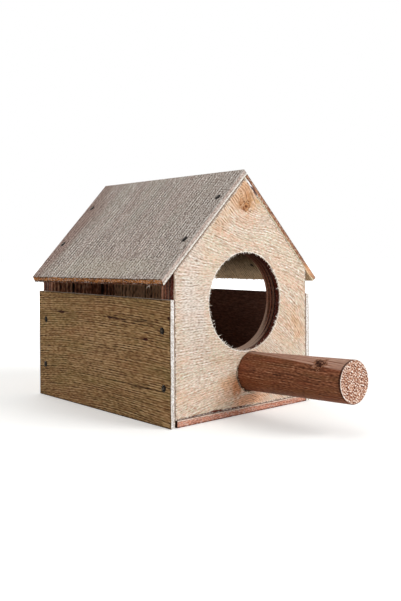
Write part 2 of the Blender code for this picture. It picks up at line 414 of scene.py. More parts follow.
@dataclass(frozen=True)
class Lines(Streaks):
    """Grain lines at an even spacing, the width, that stray over their length and break in dashes."""

    dash: float = 4.0
    stray: float = 3.5

    def draw(self, shader: Shader, flow: Socket, seed: float) -> Socket:
        """Draws them.

        Args:
            shader: The material.
            flow: Place that follows the grain, with Y across it.
            seed: Moves them.

        Returns:
            The lines, from 0 to 1.
        """
        turns = (0, math.tau / self.width, 0)
        phase = shader.add("VectorMath DOT_PRODUCT", (flow, turns), out="Value")
        stray = shader.cloud(flow, (self.length, self.width * 2.5, DEEP), seed)
        wave = shader.add("Math SINE", (shader.total([(stray, self.stray)], phase),))
        depth = shader.cloud(flow, (self.dash, self.width, DEEP), seed + 0.5)
        return shader.total([(shader.add("Math MULTIPLY", (wave, depth)), 0.5)], 0.5)


@dataclass(frozen=True)
class Pores:
    """Short dark dashes where the knife opened the wood's vessels, in millimetres."""

    width: float
    length: float
    shade: str
    strength: float
    low: float = 0.54  # noise value that one starts from: higher leaves fewer


@dataclass(frozen=True)
class Blush:
    """A tint that comes and goes over the face, with the size of its patches in millimetres."""

    shade: str
    size: tuple[float, float]
    strength: float


@dataclass(frozen=True)
class Bend:
    """Grain that leans and bows along one axis of its board."""

    axis: tuple[float, float, float]
    lean: float = 0.0  # sideways drift per millimetre
    bow: float = 0.0  # sideways drift per square millimetre

    def drift(self, shader: Shader, place: Socket) -> Socket:
        """Sideways drift of the grain in millimetres, at a place on the board."""
        far = shader.add("VectorMath DOT_PRODUCT", (place, self.axis), out="Value")
        return shader.total([(far, self.lean), (shader.add("Math MULTIPLY", (far, far)), self.bow)], 0.0)


@dataclass(frozen=True)
class Mark:
    """A spot or smear on a face, in millimetres."""

    along: float  # its place along the grain
    across: float  # its place across the grain
    half_length: float
    half_width: float
    shade: str
    strength: float  # how much of its colour goes on
    bulge: float = 0.0  # how far it parts the grain
    ragged: float = 0.5  # how ragged its outline is
    tilt: float = 0.0  # its turn against the grain, in radians
    soft: float = 0.65  # width of its outline, as a share of its size
    rings: float = 0.0  # how many dark rings it shows, as a knot does
    lines: Optional[Lines] = None  # dark grain lines of its own, along its tilt
    grain: float = 1.0  # how much of the grain shows through it
    ring_shade: str = "#5A3826"
    line_shade: str = "#8A5A3C"
    reach: float = 3.5  # how far it parts the grain, in times its size

    @property
    def middle(self) -> tuple[float, float, float]:
        """Its middle."""
        return self.along, self.across, 0.0

    def lay(self, shader: Shader, place: Socket, colour: Socket, seed: float, grain: Value) -> Socket:
        """Lays it on the face.

        Args:
            shader: The material.
            place: Place on the board.
            colour: The colour so far.
            seed: Moves its ragged outline.
            grain: The grain's shade, which shows through it.

        Returns:
            The new colour.
        """
        if self.tilt:
            turn = {"Vector": place, "Center": self.middle, "Angle": -self.tilt}
            place = shader.add("VectorRotate", turn, rotation_type="Z_AXIS")
        far = shader.distance(place, self.middle, (self.half_length, self.half_width, FAR))
        grit = (max(self.half_length * 0.5, 0.5), max(self.half_width * 0.5, 0.4), DEEP)
        edge = shader.total([(shader.cloud(place, grit, seed, 2.0), self.ragged)], far)
        none = 1.0 + self.ragged / 2
        if self.rings:
            turns = shader.add("Math MULTIPLY", (edge, self.rings * math.tau))
            wave = shader.add("Math SINE", (turns,))
            grain = shader.paint(WHITE, self.ring_shade, wave, 0.85, 0.8, -0.4)
        if self.lines:
            drawn = self.lines.draw(shader, place, seed)
            grain = shader.paint(WHITE, self.line_shade, drawn, 0.9, 0.75, 0.35)
        mix = {0: self.grain, 6: linear(self.shade), 7: grain}
        shade = shader.add("Mix", mix, out=2, data_type="RGBA", blend_type="MULTIPLY")
        return shader.paint(colour, shade, edge, self.strength, none - self.soft, none)

    def part(self, shader: Shader, place: Socket, drift: Value) -> Socket:
        """Parts the grain round itself.

        Args:
            shader: The material.
            place: Place on the board.
            drift: The grain's drift so far.

        Returns:
            The new drift.
        """
        size = (self.half_length * self.reach, self.half_width * self.reach, FAR)
        far = shader.distance(place, self.middle, size)
        limits = {"Value": far, "From Min": 1.0, "From Max": 0.0, "To Max": -self.bulge}
        near = shader.add("MapRange", limits, interpolation_type="SMOOTHSTEP")
        off = shader.add("VectorMath SUBTRACT", (place, self.middle))
        across = shader.add("VectorMath DOT_PRODUCT", (off, Y_AXIS), out="Value")
        return shader.add("Math MULTIPLY_ADD", (across, near, drift))


@dataclass(frozen=True)
class Veneer:
    """The look of a veneer's face."""

    name: str  # what it is and how it was made
    shades: tuple[str, ...]  # colours from the darkest line to the palest, evenly spaced
    bands: Streaks  # broad bands of growth
    lines: Lines  # the lines that the eye reads as grain
    fibres: Streaks  # the finest streaks that the render can show
    pores: Pores
    blushes: tuple[Blush, ...] = ()
    wander: float = 1.0  # how far the grain sways sideways, in millimetres
    sway: float = 30.0  # length of one sway, in millimetres
    roughness: float = 0.65  # about 0.6 for sanded wood and 0.8 for sawn wood
    relief: float = 0.1  # depth of the grain, in millimetres
    # Shades by which the grain shows through a mark, from its darkest line to its palest
    through: tuple[str, ...] = ("#6E5A4C", "#E2DAD2", WHITE)

    def face(
        self, shader: Shader, place: Socket, seed: float, marks: Sequence[Mark], drift: Value
    ) -> Look:
        """Paints the face.

        Args:
            shader: The material.
            place: Place on the board: along the grain, across it, and depth, in millimetres.
            seed: Moves every pattern.
            marks: Spots and knots.
            drift: How far the grain has drifted across, in millimetres.

        Returns:
            The colour and the height.
        """
        sways = shader.cloud(place, (self.sway, self.sway * 0.4, 50), seed + 0.7, 1.0)
        drift = shader.total([(sways, self.wander)], drift)
        for mark in marks:
            if mark.bulge:
                drift = mark.part(shader, place, drift)
        flow = shader.add("VectorMath ADD", (place, shader.add("CombineXYZ", {"Y": drift})))
        layers = (self.bands, self.lines, self.fibres)
        parts = [(s.draw(shader, flow, seed + 1.3 * i), s.weight) for i, s in enumerate(layers, 1)]
        tone = shader.total(parts, 0.5 - sum(s.weight for s in layers) / 2)
        colour = shader.add("ValToRGB", (tone,), stops=even(self.shades))
        for index, blush in enumerate(self.blushes):
            patch = shader.cloud(flow, (*blush.size, 90), seed + 9 + index, 1.0, 0.45, 0.68)
            colour = shader.paint(colour, blush.shade, patch, blush.strength)
        pores = self.pores
        size = (pores.length, pores.width, DEEP)
        dashes = shader.cloud(flow, size, seed + 20, 0.0, pores.low, pores.low + 0.14)
        colour = shader.paint(colour, pores.shade, dashes, pores.strength)
        grain = shader.add("ValToRGB", (tone,), stops=even(self.through))
        for index, mark in enumerate(marks):
            colour = mark.lay(shader, place, colour, seed + 30 + index, grain)
        return colour, shader.total([(dashes, -0.6)], tone)


@dataclass(frozen=True)
class Ply:
    """One layer of a board's sawn edge: thickness in millimetres, body colour and speck colour."""

    thickness: float
    shade: str
    speck: str


@dataclass(frozen=True)
class PlyStack:
    """The layers of a board, outer face first, as its sawn edges show them."""

    plies: tuple[Ply, ...]
    glue: str = "#5A3A2A"  # the glue line between two layers
    glue_width: float = 0.25  # in millimetres, drawn wider than its real 0.1 so that it shows
    strength: float = 0.8  # how far the open ends of the vessels colour an edge
    wave: float = 0.3  # how far a layer strays from straight, in millimetres
    grit: tuple[float, float] = (1.0, 0.55)  # length and depth of a speck, in millimetres
    pale: float = 0.3  # how much of the pale specks shows
    top_light_and_dust: Optional[str] = None  # sawdust and painted light from above on edges that look upwards, if there is any
    underside_shade: str = "#2E0E08"  # painted shade on edges that look down, where the dust is set
    top_lit_and_dusted: float = 0.66  # how much of the dust and painted light
    underside_shaded: float = 0.6  # how much of the painted shade
    waves: tuple[float, float, float] = (9.0, 9.0, 6.0)  # size of the layers' waves, in millimetres
    pale_shade: str = "#F4EDE4"

    @property
    def thickness(self) -> float:
        """Thickness of the whole board in millimetres."""
        return sum(ply.thickness for ply in self.plies)

    def _ramp(self, which: str) -> list[tuple[float, str]]:
        """Ramp stops over the board's thickness.

        Args:
            which: The field of the ply that gives the colour.

        Returns:
            Places and colours.
        """
        total = self.thickness
        stops: list[tuple[float, str]] = []
        depth, half = 0.0, self.glue_width / 2
        for ply in self.plies:
            if stops:
                stops.append((depth / total, self.glue if which == "shade" else ply.speck))
            start, depth = depth, depth + ply.thickness
            shade = getattr(ply, which)
            stops += [((start + half) / total, shade), ((depth - half) / total, shade)]
        return stops

    def edge(self, shader: Shader, place: Socket, seed: float) -> Look:
        """Paints the sawn edge.

        Args:
            shader: The material.
            place: Place on the board, with its depth from the outer face as Z.
            seed: Moves the patterns.

        Returns:
            The colour and the height.
        """
        total = self.thickness
        strays = shader.cloud(place, self.waves, seed, 2.0)
        depth = shader.add("VectorMath DOT_PRODUCT", (place, (0, 0, 1 / total)), out="Value")
        share = shader.total([(strays, self.wave / total)], depth)
        share = shader.add("Math SUBTRACT", (share, self.wave / 2 / total))
        body, speck = (
            shader.add("ValToRGB", (share,), stops=self._ramp(which)) for which in ("shade", "speck")
        )
        # Open vessels are 0.05 to 0.2 mm across, too fine to show, so they are drawn at about 1 mm
        length, thick = self.grit
        dots, threads, pale = (
            shader.cloud(place, (length * longer, length * longer, thick), seed + step, 0.0, low, high)
            for longer, step, low, high in ((1, 2, 0.42, 0.6), (6, 3, 0.4, 0.65), (1.3, 6, 0.56, 0.68))
        )
        rough = shader.total([(dots, 0.65), (threads, 0.35)], 0.0)
        colour = shader.paint(body, speck, rough, self.strength)
        colour = shader.paint(colour, self.pale_shade, pale, self.pale)
        if self.top_light_and_dust:
            # Upward edges get sawdust and painted light from above, downward ones painted shade
            up = shader.add("VectorMath DOT_PRODUCT", (shader.normal, Z_AXIS), out="Value")
            pale_ply = shader.add("RGBToBW", (body,))
            facing_up = shader.total([(up, 1.0), (share, 0.9), (pale_ply, 1.3)], -0.62)
            colour = shader.paint(colour, self.top_light_and_dust, facing_up, self.top_lit_and_dusted, 0.95, 0.5)
            colour = shader.paint(colour, self.underside_shade, up, self.underside_shaded, -0.9, -0.3)
        return colour, shader.add("Math SUBTRACT", (1.0, rough))


@dataclass(frozen=True)
class Lie:
    """How a board lies: unit axes in the row frame, where its outer face is, and where along starts."""

    along: Vector
    across: Vector
    outward: Vector
    face: float
    start: float = 0.0

    def place(self, shader: Shader, turned: bool = False) -> Socket:
        """Place along the grain, across it and below the outer face. Turned swaps the first two."""
        flat = [(self.along, self.start), (self.across, 0)][:: -1 if turned else 1]
        return shader.local(*zip(*flat, (-self.outward, -self.face)))


@dataclass(frozen=True)
class ArrisWear:
    """How an arris has worn or torn, with any painted shade or highlight along it, in millimetres."""

    shade: str = "#F4EADB"  # the lifted fibres right at the arris
    gap_shade: str = "#6E523C"  # the torn gaps beside it
    width: float = 0.8  # width of the lifted border
    strength: float = 0.6  # how much of the border's colour goes on
    gap_strength: float = 0.5  # how much of the gaps' colour
    ragged: float = 1.0  # how far the border's width varies, as a share of it
    seam: float = 0.0  # how much of the gaps' colour lines the arris, where another board meets it
    seam_width: float = 0.4
    waves: tuple[float, float] = (2.2, 1.6)  # size of the waves in the border's width
    # Torn gaps between the fibres are under 0.3 mm, drawn at about 1 mm so that they show
    gap: tuple[float, float] = (1.4, 0.9)
    breaks: tuple[float, float] = (1.4, 1.4)  # size of the breaks in the seam

    def lay(self, shader: Shader, place: Socket, colour: Socket, arris: Socket, seed: float) -> Socket:
        """Wears the face beside the arris.

        Args:
            shader: The material.
            place: Place on the board.
            colour: The face's colour.
            arris: Distance to the arris in millimetres.
            seed: Moves the patterns.

        Returns:
            The worn colour.
        """
        width = self.width
        strays = shader.cloud(place, (*self.waves, DEEP), seed, 1.0)
        reach = shader.total([(strays, -width * self.ragged)], arris)
        middle = width * max(1 - self.ragged, 0.0)
        full, none = middle - width * 0.2, middle + width * 0.5
        colour = shader.paint(colour, self.shade, reach, self.strength, full, none)
        gaps = shader.cloud(place, (*self.gap, DEEP), seed + 5, 0.0, 0.5, 0.6)
        rim = shader.add("MapRange", {"Value": arris, "From Min": width * 1.4, "From Max": width * 0.5})
        torn = shader.add("Math MULTIPLY", (gaps, rim))
        colour = shader.paint(colour, self.gap_shade, torn, self.gap_strength)
        if not self.seam:
            return colour
        breaks = shader.cloud(place, (*self.breaks, DEEP), seed + 8, 1.0, 0.44, 0.62)
        seam = shader.total([(breaks, -self.seam_width)], arris)
        return shader.paint(colour, self.gap_shade, seam, self.seam, 0.0, self.seam_width)


@dataclass(frozen=True)
class Ring:
    """A round hole's arris on a face."""

    middle: tuple[float, float]
    radius: float
    wear: ArrisWear
    toward: Optional[tuple[float, float]] = None  # the side where the wear and any painted shade show most
    shy: float = 4.0  # how much further off the other side counts, in millimetres

    def arris(self, shader: Shader) -> Socket:
        """Distance outside the hole's arris, longer where the wear doesn't reach.

        Args:
            shader: The material.

        Returns:
            The distance in millimetres.
        """
        middle = (self.middle[0], 0, self.middle[1])
        off = shader.distance(shader.place, middle, (1, FAR, 1))
        arris = shader.add("Math SUBTRACT", (off, self.radius))
        if not self.toward:
            return arris
        axis = Vector((self.toward[0], 0, self.toward[1])).normalized()
        moved = shader.add("VectorMath SUBTRACT", (shader.place, middle))
        turn = shader.add("VectorMath DOT_PRODUCT", (moved, axis), out="Value")
        start, end = self.radius * 0.75, self.radius * 0.2
        limits = {"Value": turn, "From Min": start, "From Max": end, "To Max": self.shy}
        return shader.add("Math ADD", (arris, shader.add("MapRange", limits)))


@dataclass
class Board:
    """A plywood board of the frame, with its two veneers and its sawn edges."""

    node: str
    lie: Lie
    outer: Veneer  # the outer face
    inner: Veneer  # the inner face
    stack: PlyStack  # its layers, as the edges along the grain show them
    seed: float  # moves its patterns
    borders: Sequence[tuple[Vector, float]] = ()  # planes that bound the face: outward normal, place
    end_stack: Optional[PlyStack] = None  # its layers across the grain, where they differ
    marks: tuple[Mark, ...] = ()  # spots and knots on the outer face
    inner_marks: tuple[Mark, ...] = ()
    edge_marks: tuple[Mark, ...] = ()  # on the sawn edges: along the board, down through its thickness
    rings: tuple[Ring, ...] = ()  # holes in the outer face
    wear: ArrisWear = ArrisWear()
    flow: Optional[Flow] = None  # where the outer grain drifts to, if it isn't straight
    inner_turn: bool = False  # whether the inner grain runs across the outer
    nail_shade_radius: float = 2.5  # radius of the dark ring of painted shade round a nail
    scuff: float = 9.0  # size of the scuffs that vary its roughness
    scuffed: float = 0.12  # how much they do

    def _worn(self, shader: Shader, place: Socket, colour: Socket) -> Socket:
        """Wears the outer face along its arrises and round its holes, with the painted shade and highlight
        of the holes' rings.

        Args:
            shader: The material.
            place: Place on the board.
            colour: The face's colour.

        Returns:
            The worn colour.
        """
        nearest: Value = 1e3
        for normal, limit in self.borders:
            reach = shader.add("VectorMath DOT_PRODUCT", (shader.place, normal), out="Value")
            inset = shader.add("Math SUBTRACT", (limit, reach))
            nearest = shader.add("Math MINIMUM", (inset, nearest))
        colour = self.wear.lay(shader, place, colour, nearest, self.seed + 50)
        for index, ring in enumerate(self.rings):
            colour = ring.wear.lay(shader, place, colour, ring.arris(shader), self.seed + 60 + index)
        return colour

    def _nail_shade_rings(self) -> tuple[Mark, ...]:
        """Rings the nails that were driven through this board with painted shade.

        Returns:
            A dark mark of painted shade round each.
        """
        prefix = self.node.rsplit("_", 1)[0] + "_nail_"
        dents = []
        for name in sorted(n for n in frame["nodes"] if n.startswith(prefix)):
            crown = outermost(name, self.lie.outward) / MM
            along, across = crown.dot(self.lie.along) - self.lie.start, crown.dot(self.lie.across)
            size = (self.nail_shade_radius, self.nail_shade_radius)
            # A dark ring of painted shade round the nail's head
            dents.append(Mark(along, across, *size, "#1E0C06", 0.95, ragged=0.3, soft=0.3))
        return tuple(dents)

    def dress(self) -> None:
        """Gives the node its material."""
        shader = Shader(f"{self.outer.name} on {self.node}")
        lie, seed = self.lie, self.seed
        place = lie.place(shader)
        colour, height = self.stack.edge(shader, place, seed)
        along, _, depth = shader.add("SeparateXYZ", (place,)).node.outputs
        through = shader.add("CombineXYZ", (along, depth))
        for index, mark in enumerate(self.edge_marks):
            colour = mark.lay(shader, through, colour, seed + 40 + index, linear(WHITE))
        looks = []
        if self.end_stack:
            ends = self.end_stack.edge(shader, place, seed + 4)
            looks = [(lie.along, ends), (-lie.along, ends)]
        drift = self.flow(shader, place) if self.flow else 0.0
        marks = (*self.marks, *self._nail_shade_rings())
        face, grain = self.outer.face(shader, place, seed, marks, drift)
        looks.append((lie.outward, (self._worn(shader, place, face), grain)))
        inner = lie.place(shader, self.inner_turn)
        looks.append((-lie.outward, self.inner.face(shader, inner, seed + 70, self.inner_marks, 0.0)))
        colour, height = shader.cover((colour, height), looks)
        scuffs = shader.cloud(shader.place, [self.scuff] * 3, seed + 90, 3.0)
        roughness = shader.total([(scuffs, self.scuffed)], self.outer.roughness - self.scuffed / 2)
        material = shader.finish(colour, roughness, height, self.outer.relief)
        frame["nodes"][self.node].material_slots[0].material = material
        LOG.info("dressed %s in %s", self.node, self.outer.name)


# Peeled birch, lightly sanded: pale cream with fine pinkish and tan lines, because the lathe knife
# cuts the growth rings at a shallow angle. Its fibres are 0.03 mm wide and its rays 0.1 mm, so the
# finest streaks here are drawn at 0.6 mm.
PEELED_BIRCH = Veneer(
    name="sanded peeled birch veneer",
    shades=("#8E7058", "#C4A892", "#DDC9B8", "#EFE1D3", "#FFFDF8"),
    bands=Streaks(7.0, 70.0, 0.07, 2.0),
    lines=Lines(1.55, 34.0, 0.62, dash=10.0, stray=1.6),
    fibres=Streaks(0.6, 1.9, 0.52),
    pores=Pores(0.6, 4.0, "#9A765C", 0.4),
    blushes=(
        Blush("#E4AE8E", (34, 7), 0.36),
        Blush("#D2CEB0", (24, 8), 0.2),
        Blush("#EAB49A", (2.6, 0.8), 0.4),
        Blush("#CBD8B8", (2.4, 0.8), 0.36),
    ),
    wander=0.8, sway=26.0, roughness=0.62,
)

# Steep dark lines where the grain turns up beside the knot under the apex
COMB = Lines(1.8, 9.0, 1.0, dash=3.5, stray=2.4)

# The same birch inside the box, left as it came from the mill and browned by handling
RAW_BIRCH = replace(
    PEELED_BIRCH,
    name="raw peeled birch veneer",
    shades=("#7A5840", "#A88464", "#C2A07C", "#D2B491", "#E8D0B0"),
    blushes=(Blush("#B98A66", (60, 14), 0.35),),
    wander=2.0, sway=60.0,
)

# Sliced grey-taupe hardwood, unsanded: straight hard lines down the slope with open grain, which
# catches the light as dark and pale specks. Its vessels are 0.2 mm wide, drawn at about 1 mm.
GREY_SLICED = Veneer(
    name="sliced grey hardwood veneer",
    shades=("#2C201A", "#7C6F66", "#A2968D", "#C2B8AF", "#E8E1D8"),
    bands=Streaks(10.0, 400.0, 0.06, 2.0),
    lines=Lines(3.05, 160.0, 0.8, dash=6.0, stray=1.5),
    fibres=Streaks(1.3, 0.9, 0.66),
    pores=Pores(1.5, 9.0, "#5A4C44", 0.2),
    blushes=(
        Blush("#A98F86", (60, 12), 0.18),
        Blush("#98998A", (50, 10), 0.18),
        Blush("#B49A90", (3.0, 2.2), 0.2),
    ),
    wander=0.6, sway=180.0, roughness=0.72,
)

# Sliced olive-brown hardwood, unsanded: long level lines, darker than the core, with a dull face
OLIVE_SLICED = Veneer(
    name="sliced olive-brown hardwood veneer",
    shades=("#261206", "#5E4228", "#82633F", "#9D7D57", "#B89870"),
    bands=Streaks(6.0, 250.0, 0.1, 2.0),
    lines=Lines(1.45, 160.0, 1.0, dash=26.0, stray=1.6),
    fibres=Streaks(0.62, 3.2, 0.52),
    pores=Pores(0.6, 9.0, "#38220E", 0.25),
    blushes=(
        Blush("#75663A", (60, 12), 0.2),
        Blush("#865438", (50, 10), 0.18),
        Blush("#8C5A40", (5.0, 1.0), 0.14),
        Blush("#7A764C", (5.0, 1.0), 0.14),
    ),
    wander=2.5, sway=110.0, roughness=0.7,
)

# Back of the thin boards: rough red-brown veneer, the face that the mill turns inwards
RED_BACK = Veneer(
    name="rough red-brown backing veneer",
    shades=("#54342A", "#7A5243", "#8C6050", "#A07462", "#BC9280"),
    bands=Streaks(9.0, 200.0, 0.2, 2.0),
    lines=Lines(2.2, 90.0, 0.15),
    fibres=Streaks(0.8, 2.4, 0.35),
    pores=Pores(0.7, 6.0, "#3A2019", 0.3),
    wander=2.0, sway=90.0, roughness=0.75,
)

# Inside of the back panel: the same backing with harder streaks
STREAKY_BACK = replace(
    RED_BACK,
    name="streaky brown backing veneer",
    shades=("#36201A", "#724634", "#946046", "#B27E64", "#DCB696"),
    bands=Streaks(5.0, 200.0, 0.45, 2.0),
    lines=Lines(3.0, 90.0, 0.95, dash=20.0, stray=2.0),
    fibres=Streaks(1.0, 3.0, 0.6),
)

# Underside of the roof boards: tan, with the grain down the slope
TAN_BACK = replace(
    RED_BACK,
    name="rough tan backing veneer",
    shades=("#4E3A26", "#7A6244", "#937A56", "#AC926C", "#D8C09A"),
    lines=Lines(2.0, 60.0, 0.6, dash=10.0),
    pores=Pores(0.7, 5.0, "#4A3828", 0.4),
)

# Floor: red-brown hardwood veneer, rough from the mill
RED_FLOOR = replace(
    RED_BACK,
    name="rough red-brown floor veneer",
    shades=("#5A3122", "#8A5440", "#9E6650", "#B57E66", "#D0A088"),
)

# Turned and rubbed red-brown hardwood: long thin dark streaks that wind slowly round the dowel
TURNED_RED = Veneer(
    name="turned red-brown hardwood",
    shades=("#220E06", "#543020", "#7A4A32", "#946248", "#BC8E6E"),
    bands=Streaks(4.0, 90.0, 0.16, 2.0),
    lines=Lines(1.508, 60.0, 0.42, dash=8.0, stray=2.0),
    fibres=Streaks(0.62, 2.4, 0.42),
    pores=Pores(0.7, 14.0, "#2A140A", 0.45, 0.55),
    blushes=(Blush("#86452E", (26, 5), 0.35), Blush("#6A4A2C", (22, 5), 0.3)),
    wander=0.6, sway=60.0, roughness=0.55, relief=0.14,
)

# Thin grain streaks in the painted highlight band along the perch's top
STREAKS = Lines(1.9, 90.0, 0.5, dash=18.0, stray=3.0)

# Sawn edge of the thick gables: a pale face veneer, then dark and brown layers in turn
GABLE_STACK = PlyStack(
    plies=(
        Ply(0.9, "#E2CCB4", "#96735A"),
        Ply(2.9, "#5A261A", "#300E08"),
        Ply(0.9, "#200A06", "#120402"),
        Ply(1.9, "#7A5240", "#4A2E20"),
        Ply(0.9, "#341010", "#200A08"),
        Ply(1.1, "#945C46", "#603626"),
        Ply(1.6, "#6C4430", "#402818"),
        Ply(1.8, "#AE7A62", "#683E2E"),
    ),
    glue="#2E1610", glue_width=0.3,
    strength=0.7,
    pale=0.06,
    top_light_and_dust="#CDB09C",
)

# Sawn edge of the side panels: a thick white core between two thin dark faces
SIDE_STACK = PlyStack(
    plies=(
        Ply(0.35, "#8F7350", "#5E4730"),
        Ply(2.3, "#F6F4F2", "#AC9E92"),
        Ply(0.35, "#B49478", "#7E6048"),
    ),
    glue="#CBB9A0", glue_width=0.15,
)

# Sawn edge of the left roof board: mauve-grey and beige core over a white backing
ROOF_STACK = PlyStack(
    plies=(
        Ply(0.5, "#B4A8A2", "#786C66"),
        Ply(1.9, "#C6B4AA", "#84726A"),
        Ply(1.2, "#F0ECE4", "#AEA296"),
    ),
    glue="#7A665C", glue_width=0.3,
    grit=(1.2, 0.8),
)

# Eave edge of the roof boards, across the grain: rough red-brown with orange patches
EAVE_STACK = PlyStack(
    plies=(
        Ply(0.5, "#62452F", "#200F04"),
        Ply(2.2, "#AA7040", "#46220A"),
        Ply(0.9, "#5E341E", "#120600"),
    ),
    glue="#4A2A1C", glue_width=0.3,
    strength=0.95,
    wave=0.9,
    grit=(1.4, 0.7),
    pale=0.2,
)

# The right board's edge is rose-brown, with a cream backing
ROSE_ROOF_STACK = replace(
    ROOF_STACK,
    plies=(
        Ply(0.5, "#8E7868", "#5E4838"),
        Ply(2.0, "#B08063", "#6C402C"),
        Ply(1.1, "#DAD0AE", "#A29070"),
    ),
    glue="#7E5C48",
)

# Sawn edge of the floor: salmon core under a thin pale face
FLOOR_STACK = PlyStack(
    plies=(
        Ply(0.6, "#9A5C48", "#4A261A"),
        Ply(2.7, "#D89C84", "#8A4C38"),
        Ply(0.7, "#F0D8C6", "#A87058"),
    ),
    glue="#6E3E30",
    strength=0.7,
    grit=(1.4, 0.6),
)


